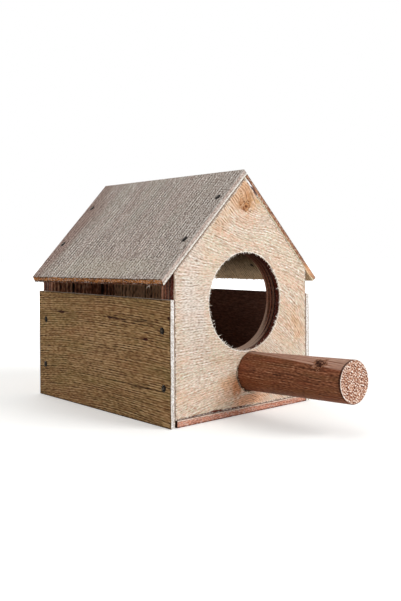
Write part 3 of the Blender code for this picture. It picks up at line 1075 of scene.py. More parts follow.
@dataclass
class Gables:
    """The two thick gable panels. The numbers bend the front's grain."""

    lean: float = 0.26  # how steeply it falls towards the right
    lean_middle: float = -35.0  # where across the board that moves nothing
    lean_heights: tuple[float, float] = (84.0, 97.0)  # where it starts and is full, left of the entrance
    lean_right: tuple[float, float] = (0.0, 25.0)  # the same across the board, under the entrance's top
    top_lean: float = 0.3  # how much steeper it falls under the apex
    top_middle: float = -18.0  # where across the board that moves nothing
    top_heights: tuple[float, float] = (115.0, 129.0)  # where that starts and is full
    bow: float = 0.00225  # how the lines bow down at the right, per millimetre
    fan: float = 0.00076  # how much they draw apart there
    fan_power: float = 1.64  # how fast that grows towards the right
    fan_height: float = 16.0  # how far over the entrance's middle it fades
    stretch: float = 0.003  # how fast the lines draw apart upwards, per millimetre
    stretch_from: float = 75.0  # height where that starts
    low_rise: float = 0.006  # how fast they start to rise to the right low down, per millimetre
    low_from: float = 44.0  # height under which they do

    def _borders(self, name: str) -> list[tuple[Vector, float]]:
        """Planes that bound a gable's face, as edge_planes gives them, with its two slopes."""
        slopes = [(n, n.z * corners_mm(name)[1].z) for n in (roof_axes(hand)[1] for hand in Hand)]
        return edge_planes(name, -X_AXIS, X_AXIS, -Z_AXIS) + slopes

    def _flow(self, shader: Shader, place: Socket) -> Socket:
        """Front grain: level at the left, falling to the right, steeper there and under the apex.

        Args:
            shader: The material.
            place: Place on the board.

        Returns:
            The drift in millimetres.
        """
        add = shader.add
        x, z, _ = add("SeparateXYZ", (place,)).node.outputs
        high, far, top = (
            add("MapRange", {"Value": value, "From Min": start, "From Max": full})
            for value, (start, full) in ((z, self.lean_heights), (x, self.lean_right), (z, self.top_heights))
        )
        off = add("Math SUBTRACT", (x, self.lean_middle))
        lean = add("Math MULTIPLY", (off, add("Math MAXIMUM", (high, far))))
        top = add("Math MULTIPLY", (add("Math SUBTRACT", (x, self.top_middle)), top))
        right = add("Math MAXIMUM", (x, 0.0))
        over = add("Math SUBTRACT", (z, ENTRANCE_MIDDLE[1]))
        over = add("Math SMOOTH_MIN", (over, self.fan_height, self.fan_height))
        apart = add("Math MULTIPLY", (add("Math POWER", (right, self.fan_power)), over))
        above = add("Math MAXIMUM", (add("Math SUBTRACT", (z, self.stretch_from)), 0.0))
        below = add("Math MAXIMUM", (add("Math SUBTRACT", (self.low_from, z)), 0.0))
        bends = (
            (lean, self.lean),
            (top, self.top_lean),
            (add("Math MULTIPLY", (off, below)), -self.low_rise),
            (apart, -self.fan),
            (add("Math MULTIPLY", (right, right)), self.bow),
            (add("Math MULTIPLY", (above, above)), -self.stretch),
        )
        return shader.total(bends, 0.0)

    def dress(self) -> None:
        """Dresses both gables."""
        low, _ = corners_mm("front_panel")
        marks = (
            # The pale left part
            Mark(-42, 70, 20, 50, "#F9F4F0", 0.66, ragged=0.6, soft=0.9, grain=0.92),
            # Warm tints and steep lines under the apex
            Mark(-5, 137, 20, 15, "#E6B488", 0.72, ragged=0.9, soft=0.8),
            Mark(-20, 114, 15, 5, "#E8BA98", 0.5, ragged=0.9, tilt=0.7, soft=0.9),
            Mark(-17, 125, 8, 18, "#F0D0AE", 0.75, ragged=0.9, tilt=-0.8, soft=0.9, lines=COMB),
            Mark(11, 130, 7, 2.0, "#DCB278", 0.6, ragged=0.8, tilt=-0.3),
            # The knot
            Mark(0.5, 130.0, 5.0, 8.0, "#D0986A", 0.6, ragged=0.9, tilt=-0.4, soft=0.7),
            Mark(1.0, 127.5, 8.0, 7.0, "#ECC29A", 0.75, 0.5, 1.2, soft=0.6, rings=3.0),
            Mark(-3.8, 128.5, 2.4, 4.0, "#B87A42", 0.6, ragged=0.9),
            Mark(4.4, 131.0, 3.0, 5.2, "#C08850", 0.6, ragged=0.9, tilt=-0.3),
            Mark(0.2, 125.6, 4.0, 3.6, "#BC7C44", 0.7, ragged=0.9, soft=0.4, rings=2.0),
            Mark(0.8, 126.4, 1.5, 1.2, "#5A240A", 0.95, ragged=0.8),
            Mark(-1.2, 124.4, 1.0, 1.4, "#6A300E", 0.85, ragged=0.7),
            Mark(3.0, 129.4, 1.0, 0.8, "#7A4A28", 0.7, ragged=0.6),
            # The chip at the entrance's rim, a warm patch and two specks
            Mark(24.8, 86.4, 2.0, 2.0, "#FFF6F0", 0.8, ragged=0.9),
            Mark(24.0, 85.2, 1.1, 1.0, "#6A4640", 0.85, ragged=0.9),
            Mark(46, 52, 11, 16, "#F6C698", 0.45, ragged=0.8, soft=0.9),
            Mark(46.8, 95.1, 1.2, 0.7, "#9A7660", 0.6, ragged=0.6),
            Mark(-38.6, 94.1, 1.0, 0.7, "#8E6A54", 0.6, ragged=0.6),
            # Painted warm shadow of the perch and painted bounced light under it, and the dark line over the
            # floor
            Mark(-13.0, 17.0, 15.0, 14.0, "#E8AC7C", 0.6, ragged=0.7, soft=0.95),
            Mark(4.0, 8.5, 28.0, 6.0, "#FFBC90", 0.7, ragged=0.6, soft=0.8),
            Mark(-7.5, 16.0, 5.0, 9.0, "#D8843E", 0.65, ragged=0.7, soft=0.9),
            Mark(-24.0, low.z + 0.4, 34.0, 0.9, "#4E1A0C", 1.0, ragged=0.3, soft=0.4, grain=0.2),
            Mark(-25.0, low.z + 1.2, 6.0, 0.6, "#5E2414", 0.9, ragged=0.6, soft=0.4, grain=0.3),
        )
        # Pale lifted fibres and a painted highlight along the entrance's arris
        rim_wear_and_highlight = ArrisWear("#FFFCF4", "#A88A70", 0.8, 0.75, 0.3)
        # Dark gap round the perch's bore, with painted contact shadow on its lower left
        bore_gap_and_shadow = ArrisWear("#160A06", "#5A4A42", 1.3, 0.95, 0.8, 0.6)
        Board(
            node="front_panel", lie=Lie(X_AXIS, Z_AXIS, -Y_AXIS, -low.y), stack=GABLE_STACK, seed=2.0,
            outer=PEELED_BIRCH, inner=RAW_BIRCH, inner_turn=True, marks=marks, flow=self._flow,
            borders=self._borders("front_panel"),
            rings=(
                Ring(ENTRANCE_MIDDLE, ENTRANCE_RADIUS, rim_wear_and_highlight),
                Ring((PERCH_BASE[0], PERCH_BASE[2]), PERCH_RADIUS, bore_gap_and_shadow, (-0.9, -0.5)),
            ),
            wear=ArrisWear("#F8F0E4", "#4A2410", 0.9, 0.6, 0.6, seam=0.55),
        ).dress()
        _, high = corners_mm("back_panel")
        Board(
            node="back_panel", lie=Lie(Z_AXIS, X_AXIS, Y_AXIS, high.y), stack=GABLE_STACK, seed=5.0,
            outer=RAW_BIRCH, inner=STREAKY_BACK, borders=self._borders("back_panel"),
            inner_marks=(
                # A pool of painted light on the inner face, then two dark streaks
                Mark(66, 36, 60, 50, "#F4CCA8", 0.9, ragged=0.3, soft=0.35),
                Mark(74, -38.3, 30, 1.6, "#120806", 0.9, ragged=0.3),
                Mark(74, -14.6, 30, 2.0, "#120806", 0.9, ragged=0.3),
            ),
        ).dress()


@dataclass
class Sides:
    """The two thin side panels, whose grain falls towards the front."""

    flow: Bend = Bend((1, 0, 0), lean=0.01, bow=0.0006)
    left_marks: tuple[Mark, ...] = (
        Mark(-20.5, 58.5, 12.0, 1.2, "#3E1C0C", 0.85, ragged=0.6, tilt=0.04),
        Mark(-14.0, 58.8, 3.0, 1.2, "#340E04", 0.95, ragged=0.4, soft=0.4),
        Mark(-45.0, 58.5, 13.0, 1.0, "#3A2412", 0.7, ragged=0.8),
        Mark(-50.4, 48.4, 3.2, 1.1, "#3A0C04", 0.95, ragged=0.4, soft=0.4),
        Mark(-72.2, 61.9, 1.6, 1.1, "#340E04", 0.95, ragged=0.3, soft=0.4),
        Mark(43.8, 59.0, 5.0, 1.2, "#340E04", 0.95, 0.3, soft=0.4),
        Mark(43.8, 59.0, 16.0, 1.0, "#482C1C", 0.6),
        Mark(-44.8, 20.0, 14.0, 1.6, "#3C2816", 0.6, 0.2, 0.8),
        # A paler middle, painted as a pool of light
        Mark(-4.0, 36.0, 44.0, 26.0, "#B49470", 0.3, ragged=0.5, soft=0.95),
    )

    def dress(self) -> None:
        """Dresses both side panels."""
        for hand in Hand:
            name = hand.name_of("side_panel")
            low, high = corners_mm(name)
            Board(
                node=name, outer=OLIVE_SLICED, inner=RED_BACK, stack=SIDE_STACK, seed=8.0 + hand.value,
                lie=Lie(Y_AXIS, Z_AXIS, X_AXIS * hand.value, high.x if hand is Hand.RIGHT else -low.x),
                marks=self.left_marks if hand is Hand.LEFT else (), flow=self.flow.drift,
                borders=edge_planes(name, -Y_AXIS, Y_AXIS, -Z_AXIS, Z_AXIS),
                wear=ArrisWear("#3A2616", "#1A0E06", 0.8, 0.6, 0.7),
            ).dress()


@dataclass
class Floor:
    """The thin floor panel, with a dark seam at each end of its front edge."""

    seam: float = 0.35

    def dress(self) -> None:
        """Dresses the floor panel."""
        low, high = corners_mm("floor_panel")
        seams = [Mark(x, 2, self.seam, 5, "#180A06", 0.95, ragged=0.2, soft=0.3) for x in (low.x, high.x)]
        Board(
            node="floor_panel", lie=Lie(X_AXIS, Y_AXIS, -Z_AXIS, -low.z), stack=FLOOR_STACK, seed=12.0,
            outer=RED_FLOOR, inner=RED_BACK, edge_marks=tuple(seams),
            borders=edge_planes("floor_panel", -X_AXIS, X_AXIS, -Y_AXIS, Y_AXIS),
            wear=ArrisWear("#C79A80", "#3A2018", 0.7, 0.4, 0.5),
        ).dress()


@dataclass
class Roof:
    """The two roof boards, whose grain lines stand further apart towards the back."""

    flow: Bend = Bend((0, 1, 0), bow=-0.0014)
    # Tints of the outer faces, placed down the slope and along the ridge
    top_marks: tuple[Mark, ...] = (
        Mark(50, 74, 90, 34, "#9C827A", 0.75, ragged=0.5, soft=0.9),
        Mark(84, -6, 14, 76, "#CCC8BC", 0.55, ragged=0.6, soft=0.8),
        Mark(40, -66, 60, 18, "#C0BCB8", 0.35, ragged=0.6, soft=0.8),
    )
    # Painted light near the eave and painted shade towards the ridge on the undersides, and a small knot of
    # the right one
    underside_light_and_shade: tuple[Mark, ...] = (
        Mark(98, 0, 28, 400, "#FFE6C0", 1.0, ragged=0.2, soft=0.6),
        Mark(50, 0, 34, 400, "#5A3A2C", 0.75, ragged=0.2, soft=0.6),
    )
    knots: tuple[Mark, ...] = (Mark(80, -25, 2.2, 1.9, "#140A06", 0.9, 0.3),)
    # The open layer at the top of the right board's front edge
    lifted: tuple[Mark, ...] = (
        Mark(12.0, 3.1, 8.0, 1.1, WHITE, 0.9, ragged=0.3, soft=0.3),
        Mark(15.0, 2.9, 4.6, 0.8, "#3E1406", 0.95, ragged=0.3, soft=0.3),
        Mark(7.0, 1.9, 6.0, 0.5, "#4E2A20", 0.8, ragged=0.3, soft=0.4),
        Mark(86.0, 2.0, 8.0, 4.0, "#E4AC80", 0.6, ragged=0.5, soft=0.8),
    )

    def dress(self) -> None:
        """Dresses both roof boards."""
        _, ridge = corners_mm("left_roof_board")
        for hand in Hand:
            name = hand.name_of("roof_board")
            down, outward = roof_axes(hand)
            low, high = corners_mm(name)
            eave = down.dot(Vector((low.x if hand is Hand.LEFT else high.x, 0, low.z)))
            Board(
                node=name, outer=GREY_SLICED, inner=TAN_BACK, end_stack=EAVE_STACK, seed=15.0 + hand.value,
                lie=Lie(down, Y_AXIS, outward, outward.z * ridge.z, down.z * ridge.z),
                stack=ROOF_STACK if hand is Hand.LEFT else ROSE_ROOF_STACK,
                marks=self.top_marks, flow=self.flow.drift,
                inner_marks=(*self.underside_light_and_shade, *(self.knots if hand is Hand.RIGHT else ())),
                edge_marks=self.lifted if hand is Hand.RIGHT else (),
                borders=[*edge_planes(name, -Y_AXIS), (down, eave)],
                wear=ArrisWear("#CFCDC2", "#3E342E", 0.9, 0.5, 0.5),
            ).dress()


@dataclass
class Perch:
    """The dowel perch, turned from red-brown hardwood and sawn off at its end."""

    radius: float = PERCH_RADIUS
    reach: float = PERCH_REACH  # how far it stands out of the front face
    inner: float = GABLE_PLY  # how far it goes into the front panel
    chamfer: float = 0.5  # the rubbed arris of its ends
    sides: int = 96  # points round it
    steps: int = 40  # rings along it
    end_shares: tuple[float, ...] = (0.06, 0.25, 0.5, 0.75, 1.0)  # rings of an end, as shares of its rim
    flat: float = 0.1  # depth of the shallow flats that the dowel cutter left
    flats_round: float = 2.2  # how close the flats stand round it, and along it per millimetre
    flats_along: float = 0.02
    saw_dip: float = 0.12  # how deep the saw dug into its end's arris
    wind: float = 0.004  # how fast the grain winds round it, in radians per millimetre
    band_wind: float = 0.0085  # how fast the painted highlight band winds round it

    def _axes(self) -> tuple[Vector, Vector, Vector]:
        """Unit vectors out along the perch, to its side and up."""
        level = math.cos(PERCH_RISE)
        out = Vector((-math.sin(PERCH_SWING) * level, -math.cos(PERCH_SWING) * level, math.sin(PERCH_RISE)))
        side = Z_AXIS.cross(out).normalized()
        return out, side, out.cross(side)

    def _ring(self, along: float, radius: float) -> list[Vector]:
        """One ring of points, a little out of round.

        Args:
            along: Its place along the perch in millimetres.
            radius: Its radius in millimetres.

        Returns:
            The points in metres.
        """
        out, side, up = self._axes()
        points = []
        for i in range(self.sides):
            turn = math.tau * i / self.sides
            spot = Vector((math.cos(turn), math.sin(turn), 0)) * self.flats_round
            spot.z = along * self.flats_along
            dip = self.flat * (0.5 + 0.5 * noise.noise(spot))
            if along >= self.reach - self.chamfer:
                dip += self.saw_dip * max(0.0, noise.noise(spot * 3))
            near = radius - dip
            whole = out * along + side * near * math.cos(turn) + up * near * math.sin(turn)
            points.append((whole + Vector(PERCH_BASE)) * MM)
        return points

    def build(self) -> None:
        """Turns the dowel."""
        start, end = self.chamfer - self.inner, self.reach - self.chamfer
        ends = [(self.radius - self.chamfer) * share for share in self.end_shares]
        stations = [(-self.inner, radius) for radius in ends]
        stations += [(start + (end - start) * i / self.steps, self.radius) for i in range(self.steps + 1)]
        stations += [(self.reach, radius) for radius in reversed(ends)]
        shape = bmesh.new()
        add_rings(shape, [self._ring(along, radius) for along, radius in stations])
        perch = link_piece("perch_dowel", shape, "perch", self._finish(), sharp=30)
        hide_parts("perch")

    def _end(self, shader: Shader, place: Socket) -> Look:
        """Sawn end grain: open vessels under slanting saw strokes about 2 mm apart.

        The vessels are 0.2 mm across, drawn at 0.8 mm.

        Args:
            shader: The material.
            place: Place along the perch, to its side and up, in millimetres.

        Returns:
            The colour and the height.
        """
        saw = Lines(1.5, 2.4, 1.0, dash=1.1, stray=4.0)
        parts = [(shader.cloud(place, (60, 0.8, 0.5), 13.0, 0.0, 0.33, 0.67), 0.6)]
        for turn, weight in ((-0.518, 0.7), (0.7, 0.32)):
            axes = ((0, math.cos(turn), math.sin(turn)), (0, -math.sin(turn), math.cos(turn)))
            turned = [shader.add("VectorMath DOT_PRODUCT", (place, axis), out="Value") for axis in axes]
            strokes = saw.draw(shader, shader.add("CombineXYZ", turned), 17.0 + turn)
            parts.append((strokes, weight))
        sawn = shader.total(parts, 0.5 - sum(weight for _, weight in parts) / 2)
        shades = ("#3A180E", "#885440", "#B6856A", "#DCB8A4", "#FFF8F0")
        colour = shader.add("ValToRGB", (sawn,), stops=even(shades))
        # The saw broke out a pale crescent along one side
        off = shader.distance(place, (0, 1.3, 0), (FAR, self.radius, self.radius))
        return shader.paint(colour, "#FBEFE4", off, 0.7, 1.06, 0.97), sawn

    def _finish(self) -> bpy.types.Material:
        """Turned and rubbed hardwood with a painted highlight band on top, painted shade below and a rough
        sawn end.

        Returns:
            The material.
        """
        shader = Shader(f"{TURNED_RED.name} dowel")
        axes = self._axes()
        place = shader.local(axes, [axis.dot(Vector(PERCH_BASE)) for axis in axes])
        along, side, up = shader.add("SeparateXYZ", (place,)).node.outputs
        turn = shader.add("Math ARCTAN2", (side, up))
        around = shader.add("Math MULTIPLY", (turn, -self.radius))
        skin = shader.add("CombineXYZ", (along, around))
        drift = shader.add("Math MULTIPLY", (along, -self.wind * self.radius))
        lean = math.atan(self.band_wind * self.radius)
        marks = (
            # Painted highlight along the top, with grain streaks in it, and painted shade on the belly
            Mark(40, -4.5, 300, 12.5, "#D2AC98", 0.6, ragged=0.06, tilt=lean, soft=0.12, lines=STREAKS),
            Mark(40, 27, 300, 10, "#6E3A14", 0.45, ragged=0.2, soft=0.9),
            # The knot
            Mark(62.4, 8.0, 6.4, 5.2, "#94644A", 0.85, 0.25, 1.0, soft=0.4, rings=2.5),
            Mark(62.0, 6.8, 2.4, 2.2, "#2E0E04", 0.95, ragged=1.2),
            Mark(64.0, 9.4, 2.6, 2.0, "#2E0E04", 0.95, ragged=1.2),
            Mark(66.0, 7.4, 1.2, 1.3, "#38140A", 0.9, ragged=1.0),
            Mark(60.2, 10.2, 1.8, 1.0, "#C49A84", 0.8, ragged=0.8),
            # Painted shade along the end's arris, and a tint near the panel
            Mark(80.7, 14.0, 1.0, 18.0, "#2A0E06", 0.8, ragged=0.3, soft=0.5),
            Mark(-6, 20, 26, 30, "#7E4630", 0.35, ragged=0.6, soft=0.9),
        )
        end, skin_look = self._end(shader, place), TURNED_RED.face(shader, skin, 3.0, marks, drift)
        colour, height = shader.cover(skin_look, [(axes[0], end), (-axes[0], end)])
        roughness = shader.total([(shader.facing(axes[0]), 0.25)], TURNED_RED.roughness)
        return shader.finish(colour, roughness, height, TURNED_RED.relief)


@dataclass(frozen=True)
class NailFinish:
    """Drawn steel wire with a hammered head: dull grey, with painted shade towards its rim, and darker where
    it rusts.
    """

    shades: tuple[str, ...] = ("#0C0B0A", "#1E1C1A", "#5A564E")  # from the darkest to the palest
    rust: str = "#4A3427"
    # painted shade at the head's rim
    rim: str = "#0C0B0A"
    shade_start: float = 0.8  # radius in millimetres where the painted shade of the rim starts
    fade: float = 0.4  # how far it takes to darken fully
    metallic: float = 0.5  # half, because scale and rust cover the bare steel in part
    roughness: float = 0.5  # dull from the hammer

    def make(self) -> bpy.types.Material:
        """Makes the material.

        Returns:
            The material.
        """
        shader = Shader("hammered steel nail wire")
        dents = shader.cloud(shader.place, (0.9, 0.9, 0.9), 1.0, 1.0)
        colour = shader.add("ValToRGB", (dents,), stops=even(self.shades))
        rust = shader.cloud(shader.place, (2.2, 2.2, 2.2), 4.0, 2.0, 0.5, 0.7)
        colour = shader.paint(colour, self.rust, rust, 0.4)
        off = shader.distance(shader.place, (0, 0, 0), (1, 1, FAR))
        # Painted shade darkens the head towards its rim
        colour = shader.paint(colour, self.rim, off, 0.95, self.shade_start + self.fade, self.shade_start)
        shader.join({"Metallic": self.metallic})
        return shader.finish(colour, shader.total([(dents, 0.2)], self.roughness), dents, 0.08)


@dataclass
class Nails:
    """Wire nails with hammered heads."""

    length: float = 20.0  # whole length
    head: float = 1.7  # radius of the head
    shank: float = 0.8  # radius of the shank
    thickness: float = 1.0  # of the head
    crown: float = 0.35  # height of the head's crown
    point: float = 3.0  # length of the point
    sides: int = 24  # points round it
    dent: float = 0.05  # depth of the hammer's dents

    def _shape(self, seed: int) -> bmesh.types.BMesh:
        """Turns one nail with its crown at local zero and its point down -Z.

        Args:
            seed: Makes its dents its own.

        Returns:
            The shape, in metres.
        """
        dice = random.Random(seed)
        head, shank, crown = self.head, self.shank, self.crown
        profile = (
            (0.05, -self.length),
            (shank, self.point - self.length),
            (shank, -self.thickness),
            (head * 0.96, -self.thickness),
            (head, -self.thickness * 0.7),
            (head, -crown),
            (head * 0.85, -crown * 0.75),
            (head * 0.5, -crown * 0.25),
            (0.1, -0.03),
        )
        rings = []
        for radius, z in profile:
            ring = []
            for i in range(self.sides):
                turn = math.tau * i / self.sides
                near = radius - (self.dent * dice.random() if radius > shank else 0.0)
                lower = z - (self.dent * dice.random() if -crown < z < -0.05 else 0.0)
                ring.append(Vector((near * math.cos(turn), near * math.sin(turn), lower)) * MM)
            rings.append(ring)
        shape = bmesh.new()
        add_rings(shape, rings)
        return shape

    @staticmethod
    def _outward(name: str) -> Vector:
        """Direction of a nail's head, from the name of the board that it holds.

        Args:
            name: The nail's node.

        Returns:
            The unit vector.
        """
        if name.startswith("floor"):
            return -Z_AXIS
        hand = Hand.LEFT if name.startswith("left") else Hand.RIGHT
        return X_AXIS * hand.value if "side" in name else roof_axes(hand)[1]

    def build(self) -> None:
        """Drives every nail of the frame."""
        plain = NailFinish().make()
        # A darker copy of the same steel, as painted shade, for the roof's and the back's nails
        shaded_steel = NailFinish(("#060403", "#0C0907", "#343029"), shade_start=0.5).make()
        for seed, name in enumerate(n for n in sorted(frame["nodes"]) if "_nail_" in n):
            outward = self._outward(name)
            crown = outermost(name, outward)
            finish = shaded_steel if "roof" in name or "back" in name else plain
            nail = link_piece(name + "_steel", self._shape(seed), "box", finish, sharp=40)
            nail.matrix_world = aimed(crown, outward)
            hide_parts(name)


@dataclass(frozen=True)
class Fibre:
    """A torn fibre: a thin three-sided strand that tapers to a point, in a dull dark to pale finish."""

    name: str
    dark: str
    pale: str
    lengths: tuple[float, float]  # its shortest and longest, in millimetres
    widths: tuple[float, float]  # its thinnest and thickest at the root
    # Its rings: how far along it each sits, and its share of the width
    taper: tuple[tuple[float, float], ...] = ((0.0, 1.0), (0.4, 0.8), (0.75, 0.5), (1.0, 0.05))

    def add(
        self, shape: bmesh.types.BMesh, root: Vector, heading: Vector, curl: Vector, length: float,
        width: float,
    ) -> None:
        """Adds one.

        Args:
            shape: The mesh.
            root: Where it leaves the wood, in millimetres.
            heading: Where it starts to.
            curl: How far its tip has turned aside, in millimetres.
            length: Its length.
            width: Its width at the root.
        """
        heading = heading.normalized()
        side = heading.orthogonal().normalized()
        up = side.cross(heading)
        turns = [math.tau * i / 3 for i in range(3)]
        rings = []
        for share, wide in self.taper:
            middle = root + heading * length * share + curl * share * share
            spokes = [(side * math.cos(t) + up * math.sin(t)) * width * wide / 2 for t in turns]
            rings.append([(middle + spoke) * MM for spoke in spokes])
        add_rings(shape, rings)

    def link(self, name: str, shape: bmesh.types.BMesh, slot: str) -> None:
        """Links a set of them as one piece of the box.

        Args:
            name: The piece's name.
            shape: Its mesh.
            slot: The record's material slot. It is not used.
        """
        shader = Shader(self.name)
        shade = shader.cloud(shader.place, (1.6, 1.6, 1.6), 2.0, 2.0)
        colour = shader.add("ValToRGB", (shade,), stops=even((self.dark, self.pale)))
        grain = shader.cloud(shader.place, (0.5, 0.5, 0.5), 3.0)
        link_piece(name, shape, "box", shader.finish(colour, 0.85, grain, 0.05))


@dataclass
class TornFibres:
    """Fibres that the hole saw and the handsaw left standing at the cut edges."""

    entrance_count: int = 260
    bore_count: int = 90
    eave_count: int = 170
    chip: tuple[float, float] = (24.4, 85.8)  # the chip in the entrance's rim, across and up
    chip_count: int = 17  # fibres that gather there
    side_extra: float = 1.8  # how much longer they are at the entrance's sides
    bore_arc: tuple[float, float] = (95.0, 265.0)  # from where to where they stand round the bore
    long_splinter: float = 0.085  # where along the left eave it stands, from the front

    def _entrance(self) -> None:
        """Pale fuzz round the entrance's rim, longest where the grain meets it square on."""
        fibre = Fibre("torn birch fibre", "#D8C8B2", "#FFFCF6", (0.7, 1.6), (0.25, 0.55))
        dice, shape = random.Random(11), bmesh.new()
        low, _ = corners_mm("front_panel")
        middle = Vector((ENTRANCE_MIDDLE[0], low.y, ENTRANCE_MIDDLE[1]))
        chip = math.atan2(self.chip[1] - middle.z, self.chip[0] - middle.x)
        for index in range(self.entrance_count):
            turn = dice.gauss(chip, 0.05) if index < self.chip_count else dice.uniform(0, math.tau)
            spot = Vector((math.cos(turn), 0, math.sin(turn)))
            root = middle + spot * (ENTRANCE_RADIUS + 0.25)
            root.y += dice.uniform(0.05, 0.5)
            length = dice.uniform(*fibre.lengths) + self.side_extra * abs(spot.x) * dice.random() ** 3
            heading = Vector((0, -dice.uniform(0.0, 0.6), dice.uniform(-0.8, 0.5))) - spot
            curl = Vector((dice.uniform(-0.3, 0.3), dice.uniform(-0.3, 0.2), dice.uniform(-0.5, 0.5)))
            fibre.add(shape, root, heading, curl, length, dice.uniform(*fibre.widths))
        fibre.link("entrance_torn_fibres", shape, "front_ply")

    def _bore(self) -> None:
        """Fuzz round the left of the perch's bore."""
        fibre = Fibre("torn birch fibre at the bore", "#8A6040", "#F4DCC0", (0.6, 1.5), (0.2, 0.4))
        dice, shape = random.Random(12), bmesh.new()
        for _ in range(self.bore_count):
            turn = math.radians(dice.uniform(*self.bore_arc))
            spot = Vector((math.cos(turn), 0, math.sin(turn)))
            along = Vector((-spot.z, 0, spot.x)) * dice.choice((-0.7, 0.7))
            heading = along + spot * dice.uniform(-0.2, 0.6) - Y_AXIS * dice.uniform(0.2, 0.9)
            curl = Vector((dice.uniform(-0.4, 0.4), 0, dice.uniform(-0.4, 0.4)))
            root = Vector(PERCH_BASE) + spot * (PERCH_RADIUS + 0.5) + Y_AXIS * 0.1
            length, width = dice.uniform(*fibre.lengths), dice.uniform(*fibre.widths)
            fibre.add(shape, root, heading, curl, length, width)
        fibre.link("bore_torn_fibres", shape, "front_ply")

    def _eave(self, hand: Hand) -> None:
        """Short splinters along the sawn lower edge of a roof board, and a long one at the left.

        Args:
            hand: Which board.
        """
        fibre = Fibre("splintered hardwood edge", "#3A2014", "#9C6E50", (0.4, 1.1), (0.25, 0.6))
        dice, shape = random.Random(20 + hand.value), bmesh.new()
        down, _ = roof_axes(hand)
        points = [v.co / MM for v in frame["nodes"][hand.name_of("roof_board")].data.vertices]
        front = min(p.y for p in points)
        start = min((p for p in points if p.y < front + 0.01), key=lambda p: p.z)
        end = min((p for p in points if p.y > 0), key=lambda p: p.z)
        for _ in range(self.eave_count):
            root = start.lerp(end, dice.random()) + Z_AXIS * 0.2
            heading = down + Vector((0, dice.uniform(-0.6, 0.6), dice.uniform(-0.6, 0.1)))
            curl = Vector((0, dice.uniform(-0.4, 0.4), dice.uniform(-0.3, 0.1)))
            length, width = dice.uniform(*fibre.lengths), dice.uniform(*fibre.widths)
            fibre.add(shape, root, heading, curl, length, width)
        fibre.link(hand.name_of("eave_splinters"), shape, "roof_ply")
        if hand is Hand.LEFT:
            fibre = Fibre("pale hardwood splinter", "#B8A89C", "#E4D8CC", (1.8, 3.6), (0.6, 0.6))
            shape = bmesh.new()
            root = start.lerp(end, self.long_splinter) + Z_AXIS * 0.3
            headings = (Vector((-0.2, 0.85, -0.5)), Vector((-0.1, 0.5, -0.9)))
            for heading, length in zip(headings, reversed(fibre.lengths)):
                fibre.add(shape, root, heading, Z_AXIS * -0.4, length, fibre.widths[0])
            fibre.link("left_eave_long_splinter", shape, "roof_ply")

    def build(self) -> None:
        """Builds every set of fibres."""
        self._entrance()
        self._bore()
        for hand in Hand:
            self._eave(hand)


@dataclass(frozen=True)
class Lamp:
    """A soft box: where it stands and its size in metres, and the level that it gives the box."""

    name: str
    place: tuple[float, float, float]
    size: float
    level: float


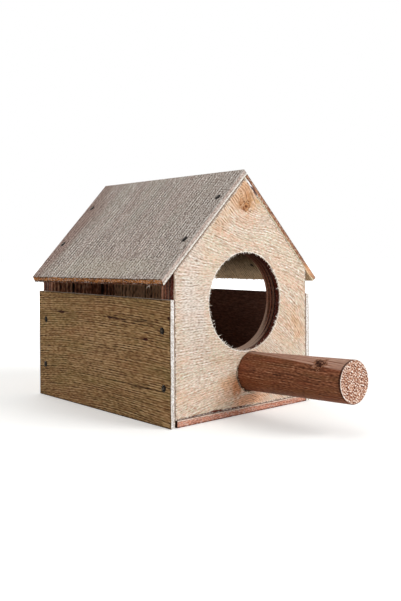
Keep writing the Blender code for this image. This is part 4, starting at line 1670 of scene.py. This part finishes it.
@dataclass
class Studio:
    """Floor, lamps, world and the camera at the photograph's angle."""

    place: tuple[float, float, float] = (-312.28, -395.16, 99.13)  # of the camera
    yaw: float = -43.1094  # degrees to the left of +Y that it looks
    pitch: float = 1.1554  # degrees down
    roll: float = -0.2407  # degrees about its own axis
    focal: float = 737.54  # focal length in pixels of the photograph
    middle: tuple[float, float] = (232.0, 266.0)  # where the lens axis meets the photograph, in pixels
    size: tuple[int, int] = (401, 601)  # of the photograph, in pixels
    sensor: float = 36.0  # width of the camera's sensor
    near: float = 0.01  # nearest that the camera sees, in metres
    ambient: float = 0.42  # strength of the world's light on the box
    floor_glow: float = 0.25  # how much of its own white the floor shows near the box
    floor_fade: tuple[float, float] = (300.0, 1000.0)  # where it starts to turn white, and where it is
    floor_shade: str = "#EDEDEB"
    floor_half: float = 6.0  # half the floor's width, in metres
    floor_drop: float = 0.0002  # how far it lies under the box, in metres
    aim: tuple[float, float, float] = (0.0, 0.0, 0.07)  # what the lamps face, in metres
    lamps: tuple[Lamp, ...] = (
        Lamp("key", (0.7, -1.35, 1.1), 0.9, 0.58),
        Lamp("top", (-0.2, 0.1, 1.7), 1.4, 0.24),
        Lamp("left_fill", (-1.5, -0.5, 0.6), 1.2, 0.22),
        Lamp("back_fill", (0.6, 1.5, 0.8), 1.2, 0.3),
    )

    def _camera(self) -> None:
        """Sets up the camera."""
        data = bpy.data.cameras.new("photo_camera")
        long_side = max(self.size)
        data.sensor_width = self.sensor
        data.lens = self.focal * self.sensor / long_side
        data.shift_x = (self.size[0] / 2 - self.middle[0]) / long_side
        data.shift_y = (self.middle[1] - self.size[1] / 2) / long_side
        data.clip_start = self.near
        camera = link_new("photo_camera", data)
        camera.matrix_world = Matrix.Translation(Vector(self.place) * MM)
        for degrees, axis in ((self.yaw, "Z"), (90 - self.pitch, "X"), (self.roll, "Z")):
            camera.matrix_world @= Matrix.Rotation(math.radians(degrees), 4, axis)
        bpy.context.scene.camera = camera

    def _hang_lamps(self) -> None:
        """Hangs the soft boxes, each at the power that gives its level on a face turned to it."""
        for lamp in self.lamps:
            data = bpy.data.lights.new(lamp.name, "AREA")
            data.shape = "SQUARE"
            data.size = lamp.size
            offset = Vector(lamp.place) - Vector(self.aim)
            data.energy = lamp.level * math.pi**2 * offset.length_squared
            link_new(lamp.name, data).matrix_world = aimed(Vector(lamp.place), offset)

    @staticmethod
    def _white_rays(tree: bpy.types.NodeTree) -> Socket:
        """Rays that see the background: the camera's, reflected and passed on ones.

        Args:
            tree: The node tree.

        Returns:
            1 for such a ray, 0 for any other.
        """
        rays = add_node(tree, "LightPath").node.outputs
        seen: Value = 0.0
        for name in ("Is Camera Ray", "Is Glossy Ray", "Is Transmission Ray"):
            seen = add_node(tree, "Math MAXIMUM", (rays[name], seen))
        return seen

    def _light_world(self) -> None:
        """White where a ray sees it, and a plain even light for everything else."""
        world = bpy.data.worlds.new("white_studio")
        bpy.context.scene.world = world
        world.use_nodes = True
        tree = world.node_tree
        limits = {"Value": self._white_rays(tree), "To Min": self.ambient, "To Max": 1.0}
        strength = add_node(tree, "MapRange", limits)
        fill(tree, tree.nodes["Background"], {"Color": linear(WHITE), "Strength": strength})

    def _lay_floor(self) -> None:
        """Lays a plain pale floor that keeps the box's soft shadow and fades to white far off."""
        shape = bmesh.new()
        bmesh.ops.create_grid(shape, x_segments=8, y_segments=8, size=self.floor_half)
        mesh = bpy.data.meshes.new("studio_floor")
        shape.to_mesh(mesh)
        shape.free()
        floor = link_new("studio_floor", mesh)
        floor.location.z = -self.floor_drop
        shader = Shader("pale studio floor")
        far = shader.distance(shader.place, (0, 0, 0), (1, 1, 1))
        start, end = self.floor_fade
        limits = {"Value": far, "From Min": start, "From Max": end, "To Min": self.floor_glow}
        spread = shader.add("MapRange", limits, interpolation_type="SMOOTHSTEP")
        glow = shader.add("Math MULTIPLY", (spread, self._white_rays(shader.tree)))
        shader.join({"Base Color": linear(self.floor_shade), "Roughness": 0.9, "Specular IOR Level": 0.0})
        shader.join({"Emission Color": linear(WHITE), "Emission Strength": glow})
        mesh.materials.append(shader.material)

    def build(self) -> None:
        """Builds the studio."""
        self._lay_floor()
        self._hang_lamps()
        self._light_world()
        self._camera()
        bpy.context.scene.view_settings.view_transform = "Standard"
        LOG.info("studio ready")


def main() -> None:
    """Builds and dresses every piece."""
    logging.basicConfig(level=logging.INFO, format="%(name)s: %(message)s")
    clear_startup()
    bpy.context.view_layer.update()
    Gables().dress()
    Sides().dress()
    Floor().dress()
    Roof().dress()
    Perch().build()
    Nails().build()
    TornFibres().build()
    Studio().build()


if __name__ == "__main__":
    main()
